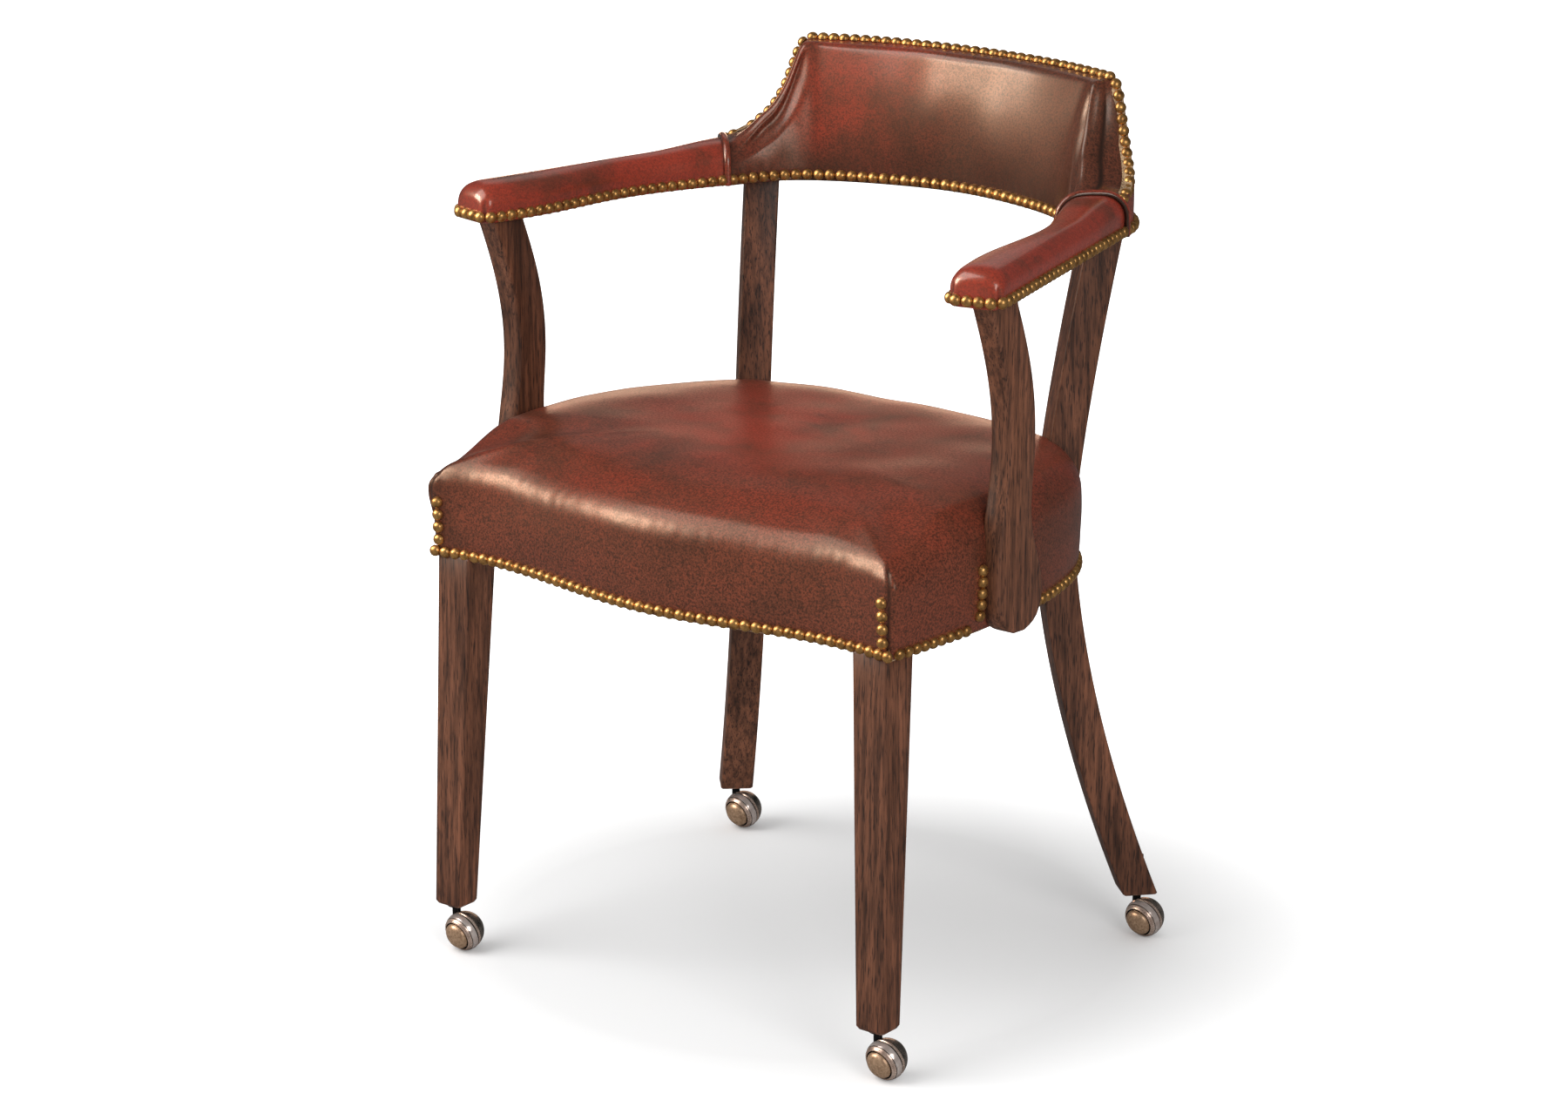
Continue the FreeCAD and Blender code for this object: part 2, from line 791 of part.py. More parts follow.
def arm_nails():
    """Nails round the nose and both sides of the right arm."""
    z = arm_bottom_z + nail_rise
    curve = arm_inner_curve()
    count = 24
    inner = [curve.value(curve.FirstParameter + (curve.LastParameter - curve.FirstParameter) * i / count)
             for i in range(count + 1)]
    inner_edge = spline([Vector(p.x, p.y, z) for p in inner])
    near = outer_at(arm_length())[0]
    far_end = outer_at(seam_distance)[0]
    outer_edge = Part.makeLine(Vector(near.x, near.y, z), Vector(far_end.x, far_end.y, z))
    nose_edge = Part.makeLine(Vector(inner[0].x, inner[0].y, z), Vector(near.x, near.y, z))
    return (nails_along(inner_edge, 0.4, 0.5, inward=True) + nails_along(outer_edge, 0.4, 0.5)
            + nails_along(nose_edge, 0.4, 0.4))


def back_nails():
    """Nails under the inside of the back, along the crest, down the wings and under the outside."""
    solids = []
    low_z = arm_bottom_z + nail_rise
    wing, crest = back_stations()
    steps = [seam_distance * (1.0 - i / 6.0) for i in range(7)]
    row = steps + [-crest_length() * i / 6.0 for i in range(1, 7)]
    inner = []
    outer = []
    for distance in row:
        a, b, c, d = back_corners(distance, 0.0)
        share = nail_rise / (c.z - d.z)
        inner.append(d + (c - d) * share)
        outer.append(Vector(a.x, a.y, low_z))
    for line, inward in ((inner, False), (outer, True)):
        whole = line[:-1] + flip(reversed(line), -1.0)
        solids += nails_along(spline(whole), 0.5, 0.5, inward=not inward)
    crest_row = [back_corners(-crest_length() * i / 6.0, 0.0)[1] for i in range(7)]
    crest_points = crest_row[:-1] + flip(reversed(crest_row), -1.0)
    inset = nail_head_radius
    crest_edge = spline([p - Vector(p.x, p.y + crest_radius - crest_corner_y, 0).normalize() * inset
                         for p in crest_points])
    solids += nails_along(crest_edge, 0.5, 0.5, tilt_up=75.0, inward=True)
    solids += wing_nails(inset)
    return solids


def wing_nails(inset):
    """Column of nails down each wing, square to its sloping edge."""
    line = []
    for i in range(41):
        distance = seam_distance * i / 40.0
        a, b, c, d = back_corners(distance, 0.0)
        line.append((b - (b - c).normalize() * inset, (b - c).normalize()))
    solids = []
    travelled = 0.0
    due = nail_pitch * 0.6
    for (p, across), (q, unused) in zip(line, line[1:]):
        step = (q - p).Length
        while travelled + step >= due:
            at = p + (q - p) * ((due - travelled) / step)
            out = (q - p).cross(across).normalize()
            out = out if out.z > 0 else out * -1.0
            one = nail(at, out)
            solids += [one, mirrored(one)]
            due += nail_pitch
        travelled += step
    return solids


# Seat suspension

def seat_strips():
    """Webbing strips, front to back below and side to side above, as separate solids."""
    inside = outline_prism(rail_top_z, rail_top_z + strip_thickness, -leather - strip_inset)
    upper = outline_prism(rail_top_z + strip_thickness, rail_top_z + 2.0 * strip_thickness,
                          -leather - strip_inset)
    strips = []
    for i in range(strip_count_long):
        x = (i - (strip_count_long - 1) / 2.0) * strip_pitch
        strips.append(inside.common(box((x - strip_width / 2.0, -far, 0), (x + strip_width / 2.0, far, far))))
    span = rear_y - front_flat_y
    for i in range(strip_count_cross):
        y = front_flat_y + span * (i + 1.0) / (strip_count_cross + 1.0)
        strips.append(upper.common(box((-far, y - strip_width / 2.0, 0), (far, y + strip_width / 2.0, far))))
    legs = [on_side(rear_leg_solid(cut_gap), side) for side in sides.values()]
    return group([trimmed(s, legs) for strip in strips for s in strip.Solids])


# Casters

def caster_axis():
    """Direction of the wheel's axle, out through its cap."""
    trail = Vector(caster_offset_x, caster_offset_y, 0).normalize()
    level = Vector(trail.y, -trail.x, 0)
    tilt = math.radians(wheel_tilt)
    return level * math.cos(tilt) - Vector(0, 0, 1) * math.sin(tilt)


def turned_profile(points_arcs):
    """Solid turned about the Z axis from a closed half profile."""
    return Part.Face(Part.Wire(points_arcs)).revolve(Vector(0, 0, 0), Vector(0, 0, 1), 360)


def ball_arc(low, high, radius):
    """Arc of the ball's outline between two heights along its axle."""
    def at(h):
        return Vector(math.sqrt(max(0.0, radius ** 2 - h ** 2)), 0, h)
    return Part.Arc(at(low), at((low + high) / 2.0), at(high)).toShape(), at(low), at(high)


def caster_wheel():
    """Ball wheel with a bore for the axle and a seat for the cap, along Z."""
    arc, low, high = ball_arc(wheel_gap, cap_face, ball_radius)
    bore = axle_radius + running_gap
    seat = cap_face - axle_head - cut_gap
    well = axle_head_radius + axle_head_gap
    points = [high, Vector(well, 0, cap_face), Vector(well, 0, seat - axle_seat),
              Vector(bore, 0, seat - axle_seat), Vector(bore, 0, wheel_gap), low]
    lines = [Part.makeLine(p, q) for p, q in zip(points, points[1:])]
    return turned_profile([arc] + lines)


def caster_cap():
    """Domed cap with a flat rim, seated on the wheel's face."""
    base = Vector(0, 0, cap_face)
    rim = Vector(cap_radius, 0, cap_face)
    edge = Vector(cap_radius, 0, cap_face + cap_rim)
    step = Vector(cap_radius - cap_rim_width, 0, cap_face + cap_rim)
    arc, crown = dome_arc(step, cap_dome - cap_rim)
    return turned_profile([Part.makeLine(base, rim), Part.makeLine(rim, edge), Part.makeLine(edge, step),
                           arc, Part.makeLine(crown, base)])


def caster_axle():
    """Axle riveted into the hood, with a head that keeps the wheel on."""
    seat = cap_face - axle_head - cut_gap
    pin = rod(Vector(0, 0, -hub_depth), Vector(0, 0, 1), seat + hub_depth, axle_radius)
    head = rod(Vector(0, 0, seat - axle_seat + axle_head_gap), Vector(0, 0, 1), axle_head, axle_head_radius)
    return pin.fuse(head).removeSplitter()


def caster_hood():
    """Hood: the other part of the ball, with the axle's hole, along Z."""
    back = -math.sqrt(ball_radius ** 2 - (ball_radius * 0.28) ** 2)
    arc, low, high = ball_arc(back, -wheel_gap, ball_radius - 0.3)
    points = [high, Vector(axle_radius, 0, -wheel_gap), Vector(axle_radius, 0, -hub_depth),
              Vector(0, 0, -hub_depth), Vector(0, 0, back), low]
    lines = [Part.makeLine(p, q) for p, q in zip(points, points[1:])]
    return turned_profile([arc] + lines)


def caster_at(stem_x, stem_y):
    """The pieces of one caster, placed at its stem."""
    centre = Vector(stem_x + caster_offset_x, stem_y + caster_offset_y, ball_radius)
    place = FreeCAD.Placement(centre, FreeCAD.Rotation(Vector(0, 0, 1), caster_axis()))
    pieces = {"wheel": caster_wheel(), "cap": caster_cap(), "axle": caster_axle(), "hood": caster_hood()}
    for shape in pieces.values():
        shape.Placement = place
    foot = ball_radius + math.sqrt(ball_radius ** 2 - caster_offset_x ** 2 - caster_offset_y ** 2) - 3.0
    up = Vector(0, 0, 1)
    stem = rod(Vector(stem_x, stem_y, foot), up, leg_bottom_z + stem_length - foot, stem_radius)
    collar_z = leg_bottom_z - socket_flange - cut_gap - 1.6
    collar = rod(Vector(stem_x, stem_y, collar_z), up, 1.6, stem_collar_radius)
    pieces["stem"] = stem.fuse(collar).removeSplitter()
    pieces["hood"] = pieces["hood"].cut(rod(Vector(stem_x, stem_y, foot), up, far, stem_radius))
    pieces["hood"] = max(pieces["hood"].Solids, key=lambda s: s.Volume)
    inner = stem_radius + running_gap
    tube = rod(Vector(stem_x, stem_y, leg_bottom_z), up, stem_length + stem_top_gap, inner + socket_wall)
    flange_at = Vector(stem_x, stem_y, leg_bottom_z - socket_flange)
    flange = rod(flange_at, up, socket_flange, socket_flange_radius)
    hole = rod(Vector(stem_x, stem_y, 0), up, leg_bottom_z + stem_length + 0.5, inner)
    pieces["socket"] = tube.fuse(flange).cut(hole).removeSplitter()
    return pieces


def stem_places():
    """Where the four casters' stems stand."""
    x0, y0, x1, y1 = front_leg_box(leg_bottom_z)
    rear_x, rear_y_foot = rear_centre(leg_bottom_z)
    front = ((x0 + x1) / 2.0, (y0 + y1) / 2.0)
    return {"front_right": front, "front_left": (-front[0], front[1]),
            "rear_right": (rear_x, rear_y_foot), "rear_left": (-rear_x, rear_y_foot)}


# Assembly

def build():
    """All pieces of the chair by name, in the chair's own frame."""
    nodes = {}
    casters = {name: caster_at(*place) for name, place in stem_places().items()}
    for name, pieces in casters.items():
        for piece, shape in pieces.items():
            nodes["caster_%s_%s" % (piece, name)] = shape
    dowels = frame_dowels()
    uprights = arm_dowels()
    screws = support_screws()
    rails = rail_parts()
    drill = group(dowels + uprights + screws)

    for word, side in sides.items():
        front = on_side(front_leg_solid(), side).cut(drill)
        rear = on_side(rear_leg_solid(), side).cut(drill)
        for end, shape in (("front", front), ("rear", rear)):
            x, y = stem_places()["%s_%s" % (end, word)]
            hole = rod(Vector(x, y, leg_bottom_z), Vector(0, 0, 1), stem_length + stem_top_gap,
                       stem_radius + running_gap + socket_wall)
            nodes["%s_leg_%s" % (end, word)] = shape.cut(hole)
        nodes["arm_support_%s" % word] = on_side(support_solid(), side).cut(drill)
        nodes["arm_core_%s" % word] = arm_core(side).cut(drill)
        nodes["arm_foam_%s" % word] = arm_foam(side)
        nodes["arm_cover_%s" % word] = arm_cover(side)
        nodes["arm_nails_%s" % word] = group([on_side(n, side) for n in arm_nails()])
    for name, solid in rails.items():
        nodes[name] = solid.cut(drill)
    nodes["frame_dowels"] = group(dowels)
    nodes["arm_dowels"] = group(uprights)
    nodes["support_screws"] = group(screws)
    nodes["corner_blocks"] = group([trimmed(corner_block(side, front), dowels)
                                    for side in sides.values() for front in (True, False)])
    nodes["seat_webbing"] = seat_strips()
    deck_low = rail_top_z + 2.0 * strip_thickness
    nodes["seat_deck"] = cleared(outline_prism(deck_low, deck_low + deck_thickness, -leather - deck_inset))
    dust = outline_prism(rail_bottom_z - dust_thickness, rail_bottom_z, -dust_inset)
    nodes["dust_cover"] = cleared(dust, True)
    nodes["seat_foam"], nodes["seat_cover"] = seat_soft(deck_low + deck_thickness)
    nodes["seat_nails"] = group(seat_nails())
    nodes["yoke_back"] = back_loft(yoke_slice).cut(group(uprights))
    nodes["back_panel"] = back_loft(panel_slice)
    nodes["back_foam"] = back_loft(foam_slice)
    nodes["back_inside_leather"] = back_loft(inside_slice)
    nodes["back_outside_leather"] = back_loft(outside_slice)
    nodes["back_nails"] = group(back_nails())
    return nodes


def cleared(shape, front_legs=False):
    """A layer of the seat cut round the legs and supports that pass it."""
    passing = [rear_leg_solid(cut_gap), support_solid(cut_gap)]
    if front_legs:
        x0, y0, x1, y1 = front_leg_box(rail_bottom_z)
        passing.append(box((x0 - cut_gap, -far, 0), (far, y1 + cut_gap, far)))
    return trimmed(shape, [on_side(one, side) for side in sides.values() for one in passing])


def seat_soft(deck_z):
    """Foam block of the seat, and the leather cover drawn over it and the rails."""
    outer = seat_body(0.0)
    inner = seat_body(leather)
    cover = cleared(outer.cut(inner))
    foam = inner.cut(box((-far, -far, 0), (far, far, rail_bottom_z + padding_start)))
    foam = foam.cut(outline_prism(rail_bottom_z, deck_z, -leather))
    return cleared(foam), cover


def arm_core(side):
    """Wooden core of an arm."""
    body = arm_body(leather, arm_bottom_z)
    return on_side(body.common(box((0, -far, 0), (far, far, yoke_top_z))), side)


def arm_foam(side):
    """Padding on top of an arm's core."""
    body = arm_body(leather, arm_bottom_z)
    return on_side(body.common(box((0, -far, yoke_top_z), (far, far, far))), side)


def arm_cover(side):
    """Leather drawn over an arm, open below and at the seam."""
    cover = arm_body(0.0, arm_bottom_z).cut(arm_body(leather, arm_bottom_z - 5.0))
    return on_side(max(cover.Solids, key=lambda s: s.Volume), side)


def frame_shift(nodes):
    """Move that puts the origin under the middle of the chair, on the floor."""
    front = min(n.BoundBox.YMin for n in nodes.values())
    back = max(n.BoundBox.YMax for n in nodes.values())
    return Vector(0, -(front + back) / 2.0, 0)


def main():
    """Build every piece and write one file for each."""
    os.makedirs("parts", exist_ok=True)
    nodes = build()
    shift = frame_shift(nodes)
    for name, shape in sorted(nodes.items()):
        shape.translate(shift)
        shape.exportStep("parts/%s.step" % name)
        print("%-28s solids %3d  volume %10.1f" % (name, len(shape.Solids), shape.Volume))
    print("shift", shift)


main()
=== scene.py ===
import json
import logging
import math
from dataclasses import dataclass, field
from enum import Enum
from typing import Callable, Iterable, Sequence

import bmesh
import bpy
import numpy as np
from mathutils import Matrix, Vector, noise
from mathutils.bvhtree import BVHTree


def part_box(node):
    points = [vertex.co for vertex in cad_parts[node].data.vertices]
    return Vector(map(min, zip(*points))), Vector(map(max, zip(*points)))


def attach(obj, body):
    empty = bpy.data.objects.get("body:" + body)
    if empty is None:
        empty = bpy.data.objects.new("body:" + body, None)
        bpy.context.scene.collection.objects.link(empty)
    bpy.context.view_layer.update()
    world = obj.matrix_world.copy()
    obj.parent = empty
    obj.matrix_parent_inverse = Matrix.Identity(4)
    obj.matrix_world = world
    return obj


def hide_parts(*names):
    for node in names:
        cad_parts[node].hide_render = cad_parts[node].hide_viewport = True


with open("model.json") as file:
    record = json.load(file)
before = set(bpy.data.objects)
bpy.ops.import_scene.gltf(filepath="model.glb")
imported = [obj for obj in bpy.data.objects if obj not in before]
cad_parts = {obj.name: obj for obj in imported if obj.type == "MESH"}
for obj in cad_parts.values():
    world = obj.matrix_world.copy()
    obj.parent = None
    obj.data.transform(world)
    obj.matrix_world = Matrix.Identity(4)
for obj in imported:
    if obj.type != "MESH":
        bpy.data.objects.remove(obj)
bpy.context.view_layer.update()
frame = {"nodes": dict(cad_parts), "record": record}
log = logging.getLogger("captains_chair")

Colour = tuple[float, float, float]
Place = tuple[float, float, float]
PointRule = Callable[[Place, Vector], float]
NailRule = Callable[[np.ndarray, np.ndarray], Sequence[float]]

# The chair's own plan is in millimetres: minus Y is the front, Z is up from the floor, and plus X
# is the right as seen from the front. Every finished mesh is in metres in the shared frame.
MM = 0.001
RIGHT = 1.0
LEFT = -1.0
SIDES = {"right": RIGHT, "left": LEFT}


class Slot(Enum):
    """The record's material slots."""

    LEATHER = "oxblood_leather"
    WOOD = "mahogany"
    BEECH = "beech"
    NAILS = "antique_brass_nails"
    COPPER = "antique_copper"
    STEEL = "blackened_steel"
    ZINC = "zinc_steel"
    LINING = "black_lining"
    WEBBING = "webbing"
    FOAM = "foam"


class Smooth(Enum):
    """How a piece is shaded."""

    ALL = "all"
    BY_ANGLE = "by_angle"


# Plan of the chair


@dataclass(frozen=True)
class Levels:
    """Heights above the floor, in millimetres."""

    leg_bottom: float = 44.2
    rail_bottom: float = 388.5
    seat_crown: float = 504.0
    arm_bottom: float = 689.0
    arm_top: float = 722.0
    crest: float = 820.0


LEVELS = Levels()
LEATHER_THICKNESS = 1.6
# How far apart the nails are, and how far above the leather's lower edge.
NAIL_PITCH = 10.9
NAIL_RISE = 5.8
# Share of the way across a wing's top at which its roll ends in a fold.
FOLD_SHARE = 0.42


def unit(vector: np.ndarray) -> np.ndarray:
    """The vector's direction, with a length of one."""
    return vector / np.linalg.norm(vector)


class Curve:
    """Natural cubic curve through points, read by its own length."""

    def __init__(self, points: Sequence[Sequence[float]]) -> None:
        """Fit the curve.

        Args:
            points: the points that it passes through, in order.
        """
        self.points = np.array(points, float)
        chords = np.linalg.norm(np.diff(self.points, axis=0), axis=1)
        self.knots = np.concatenate([[0.0], np.cumsum(chords)])
        count = len(self.points)
        matrix = np.eye(count)
        right = np.zeros_like(self.points)
        for i in range(1, count - 1):
            before, after = chords[i - 1], chords[i]
            matrix[i, i - 1:i + 2] = before, 2.0 * (before + after), after
            step = (self.points[i + 1] - self.points[i]) / after
            right[i] = 6.0 * (step - (self.points[i] - self.points[i - 1]) / before)
        self.bend = np.linalg.solve(matrix, right)
        self.dense = np.array([self.at_knot(t) for t in np.linspace(0.0, self.knots[-1], 400)])
        runs = np.linalg.norm(np.diff(self.dense, axis=0), axis=1)
        self.lengths = np.concatenate([[0.0], np.cumsum(runs)])

    def at_knot(self, t: float) -> np.ndarray:
        """Point at a knot value."""
        i = min(max(int(np.searchsorted(self.knots, t)) - 1, 0), len(self.points) - 2)
        h = self.knots[i + 1] - self.knots[i]
        a, b = (self.knots[i + 1] - t) / h, (t - self.knots[i]) / h
        cubic = (a ** 3 - a) * self.bend[i] + (b ** 3 - b) * self.bend[i + 1]
        return a * self.points[i] + b * self.points[i + 1] + cubic * h * h / 6.0

    @property
    def length(self) -> float:
        """Length of the curve."""
        return float(self.lengths[-1])

    def at(self, share: float) -> np.ndarray:
        """Point at a share of the length."""
        along = min(max(share, 0.0), 1.0) * self.length
        return np.array([np.interp(along, self.lengths, column) for column in self.dense.T])

    def even(self, count: int) -> np.ndarray:
        """Evenly spaced points, both ends included."""
        return np.array([self.at(i / (count - 1.0)) for i in range(count)])


@dataclass(frozen=True)
class SeatPlan:
    """Outline of the seat at its rail, in millimetres."""

    front_flat: float = -188.5
    front_bow: float = 25.0
    dip_x: float = 200.0
    ear: float = 7.5
    corner_x: float = 261.0
    side_x: float = 273.0
    side_full: float = -20.0
    hip: tuple[float, float] = (257.0, 82.0)
    haunch: tuple[float, float] = (229.0, 142.0)
    leg_pass: tuple[float, float] = (187.2, 186.1)
    rear: float = 213.0
    rear_bow: float = 5.0

    def front(self, x: float) -> float:
        """Front edge at a distance from the centre plane."""
        along = abs(x)
        if along <= self.dip_x:
            return self.front_flat - self.front_bow * (1.0 + math.cos(math.pi * along / self.dip_x)) / 2.0
        rise = (along - self.dip_x) / (self.corner_x - self.dip_x)
        return self.front_flat - self.ear * rise ** 2

    def side(self, hand: float) -> Curve:
        """Side of the seat from the front corner back to the rear leg."""
        shoulder = (self.front(self.corner_x) + self.side_full) / 2.0
        points = [(self.corner_x, self.front(self.corner_x)),
                  (self.corner_x + 0.7 * (self.side_x - self.corner_x), shoulder),
                  (self.side_x, self.side_full), self.hip, self.haunch, self.leg_pass]
        return Curve([(x * hand, y) for x, y in points])

    def front_line(self) -> Curve:
        """Front of the seat from the left corner to the right."""
        dips = [self.dip_x * i / 5.0 for i in range(6)]
        dips += [(self.dip_x + self.corner_x) / 2.0, self.corner_x]
        half = [(x, self.front(x)) for x in dips]
        return Curve([(-x, y) for x, y in reversed(half[1:])] + half)

    def rear_line(self) -> Curve:
        """Rear of the seat from the right leg to the left."""
        x, y = self.leg_pass
        bend = self.rear - self.rear_bow
        return Curve([(x, y), (x * 0.55, bend), (0.0, self.rear), (-x * 0.55, bend), (-x, y)])

    def outline(self, front: int, side: int, rear: int, soften: int) -> np.ndarray:
        """Closed outline from the left rear leg round the front, with its corners softened.

        Args:
            front: points on the front.
            side: points on each side.
            rear: points on the rear.
            soften: how often each point is averaged with the two beside it.

        Returns:
            One row of x and y for each point.
        """
        left = self.side(LEFT).even(side + 1)[::-1]
        ahead = self.front_line().even(front + 1)
        right = self.side(RIGHT).even(side + 1)
        behind = self.rear_line().even(rear + 1)
        points = np.vstack([left[:-1], ahead[:-1], right[:-1], behind[:-1]])
        for _ in range(soften):
            points = (np.roll(points, 1, 0) + 2.0 * points + np.roll(points, -1, 0)) / 4.0
        return points

    def grown(self, outline: np.ndarray, grow: float) -> np.ndarray:
        """The outline grown outwards, or drawn in, about the middle of the seat."""
        return outline * (1.0 + grow / ((self.side_x + self.rear) / 2.0))


@dataclass(frozen=True)
class YokePlan:
    """Plan of the arms and back, in millimetres."""

    crest_half: float = 180.0
    corner_y: float = 268.5
    crest_radius: float = 526.0
    bend_radius: float = 85.0
    bend_end: float = 76.3
    arm_front: float = -105.0
    nose: tuple[float, float] = (262.0, -116.0)
    waist: tuple[float, float] = (233.5, 48.0)
    seam: tuple[float, float] = (190.0, 155.0)
    inner_bend: tuple[float, float] = (156.0, 213.0)
    inner_back: tuple[float, float] = (88.0, 248.0)
    inner_mid: float = 264.5
    inner_lead: float = 0.92
    bow_x: float = 17.0
    bow_nose: float = 62.0
    bow_seam: float = 33.0
    seam_at: float = 92.0
    crest_thickness: float = 23.0
    wing_thickness: float = 52.0

    @property
    def bend_start(self) -> float:
        """Angle at which the crest ends, in radians."""
        return math.asin(self.crest_half / self.crest_radius)

    @property
    def crest_length(self) -> float:
        """Half length of the crest's outer line."""
        return self.crest_radius * self.bend_start

    def outer(self, distance: float) -> tuple[np.ndarray, np.ndarray]:
        """Outer line from the crest corner forwards.

        Args:
            distance: way along the line; below zero it lies on the crest.

        Returns:
            The point and the outward direction, in plan.
        """
        start, end = self.bend_start, math.radians(self.bend_end)
        if distance < 0.0:
            angle = start + distance / self.crest_radius
            out = np.array([math.sin(angle), math.cos(angle)])
            middle = np.array([0.0, self.corner_y - self.crest_radius * math.cos(start)])
            return middle + self.crest_radius * out, out
        corner = np.array([self.crest_half, self.corner_y])
        centre = corner - self.bend_radius * np.array([math.sin(start), math.cos(start)])
        angle = min(start + distance / self.bend_radius, end)
        out = np.array([math.sin(angle), math.cos(angle)])
        run = max(0.0, distance - self.bend_radius * (end - start))
        return centre + out * self.bend_radius + run * np.array([out[1], -out[0]]), out

    @property
    def arm_length(self) -> float:
        """Way along the outer line from the crest corner to the nose of the arm."""
        low = self.outer(self.seam_at)[0]
        return self.seam_at + (low[1] - self.arm_front) / math.sin(math.radians(self.bend_end))

    def inner(self, distance: float) -> np.ndarray:
        """Low inner point of the back that faces a point of the outer line."""
        middle_knot = INNER_BACK_LINE.knots[3]
        share = (self.seam_at - distance) / (self.seam_at + self.crest_length)
        return INNER_BACK_LINE.at_knot(middle_knot * share ** self.inner_lead)

    def across(self, distance: float) -> np.ndarray:
        """Level direction from the inner point to the outer one."""
        return unit(self.outer(distance)[0] - self.inner(distance))

    def drop(self, distance: float) -> float:
        """How far the top edge lies under the crest."""
        reach = [0.0, 8.0, 18.0, 27.0, 40.0, 65.0, self.seam_at, 120.0]
        fall = [0.0, 0.07, 0.34, 0.53, 0.70, 0.87, 0.95, 0.99]
        near = [distance + step for step in (-4.0, -2.0, 0.0, 2.0, 4.0)]
        return float(np.mean(np.interp(near, reach, fall))) * (LEVELS.crest - LEVELS.arm_top)

    def thickness(self, distance: float) -> float:
        """Thickness of the padded edge."""
        widened = ramp(distance, -12.0, 46.0)
        return self.crest_thickness + (self.wing_thickness - self.crest_thickness) * widened


def bump(value: float, middle: float, reach: float) -> float:
    """Smooth hill that is one at its middle and zero past its reach."""
    t = min(1.0, abs(value - middle) / reach)
    return (1.0 - t * t) ** 2


def ramp(value: float, low: float, high: float) -> float:
    """Smooth step from zero to one."""
    t = min(1.0, max(0.0, (value - low) / (high - low)))
    return t * t * (3.0 - 2.0 * t)


SEAT = SeatPlan()
YOKE = YokePlan()
INNER_BACK_LINE = Curve([YOKE.seam, YOKE.inner_bend, YOKE.inner_back, (0.0, YOKE.inner_mid),
                         (-YOKE.inner_back[0], YOKE.inner_back[1])])
ROW_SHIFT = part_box("front_rail")[0].y / MM - (SEAT.front(0.0) + LEATHER_THICKNESS)


def to_row(points: Iterable[Sequence[float]]) -> list[Vector]:
    """Plan points in millimetres as places in the shared frame, in metres."""
    return [Vector((p[0] * MM, (p[1] + ROW_SHIFT) * MM, p[2] * MM)) for p in points]


def to_plan(place: Vector) -> Place:
    """A place in the shared frame as plan millimetres."""
    return place.x / MM, place.y / MM - ROW_SHIFT, place.z / MM


# Modelling at the bench


def deselect() -> None:
    """Leave object mode with nothing selected."""
    if bpy.context.mode != "OBJECT":
        bpy.ops.object.mode_set(mode="OBJECT")
    bpy.ops.object.select_all(action="DESELECT")


def pick(piece: bpy.types.Object) -> bpy.types.Object:
    """Select one piece alone and make it active."""
    deselect()
    piece.select_set(True)
    bpy.context.view_layer.objects.active = piece
    return piece


def added(name: str) -> bpy.types.Object:
    """Name the primitive that was just added."""
    piece = bpy.context.active_object
    piece.name = name
    piece.data.name = name
    return piece


def loft(name: str, rings: Sequence[Sequence[Vector]], low: str = "face",
         high: str = "face") -> bpy.types.Object:
    """Skin drawn up from a circle, ring by ring.

    Args:
        name: the piece's name.
        rings: rings of equally many points.
        low: how the first ring is closed: by a "face", by a "grid", or "open".
        high: how the last ring is closed, in the same words.

    Returns:
        The piece, its faces pointing outwards.
    """
    deselect()
    bpy.ops.mesh.primitive_circle_add(vertices=len(rings[0]), radius=0.1, fill_type="NOTHING")
    piece = added(name)
    bpy.ops.object.mode_set(mode="EDIT")
    bpy.ops.mesh.select_mode(type="EDGE")
    bpy.ops.mesh.select_all(action="SELECT")
    mesh = bmesh.from_edit_mesh(piece.data)
    place = mesh.verts.layers.int.new("place")
    mesh.verts.ensure_lookup_table()
    for i, vert in enumerate(mesh.verts):
        vert[place] = i
        vert.co = rings[0][i]
    bmesh.update_edit_mesh(piece.data)
    for ring in rings[1:]:
        bpy.ops.mesh.extrude_region_move()
        mesh = bmesh.from_edit_mesh(piece.data)
        place = mesh.verts.layers.int.get("place")
        for vert in mesh.verts:
            if vert.select:
                vert.co = ring[vert[place]]
        bmesh.update_edit_mesh(piece.data)
    close_end(high, len(rings[0]))
    if low != "open":
        bpy.ops.mesh.select_all(action="DESELECT")
        bpy.ops.mesh.select_non_manifold(extend=False)
        close_end(low, len(rings[0]))
    bpy.ops.mesh.select_all(action="SELECT")
    bpy.ops.mesh.normals_make_consistent(inside=False)
    bpy.ops.object.mode_set(mode="OBJECT")
    return piece


def close_end(how: str, count: int) -> None:
    """Close the selected ring of a piece in edit mode by a "face" or a "grid"."""
    if how == "face":
        bpy.ops.mesh.edge_face_add()
    elif how == "grid":
        bpy.ops.mesh.fill_grid(span=count // 4)


def finish_modifier(piece: bpy.types.Object, kind: str, **settings: object) -> None:
    """Add one modifier to a piece, set it up and apply it."""
    pick(piece)
    bpy.ops.object.modifier_add(type=kind)
    modifier = piece.modifiers[-1]
    for key, value in settings.items():
        setattr(modifier, key, value)
    bpy.ops.object.modifier_apply(modifier=modifier.name)


def shade(piece: bpy.types.Object, how: Smooth = Smooth.ALL, angle: float = 40.0) -> None:
    """Smooth the shading of a piece, all over or up to an angle in degrees."""
    pick(piece)
    if how is Smooth.ALL:
        bpy.ops.object.shade_smooth()
    else:
        bpy.ops.object.shade_smooth_by_angle(angle=math.radians(angle))


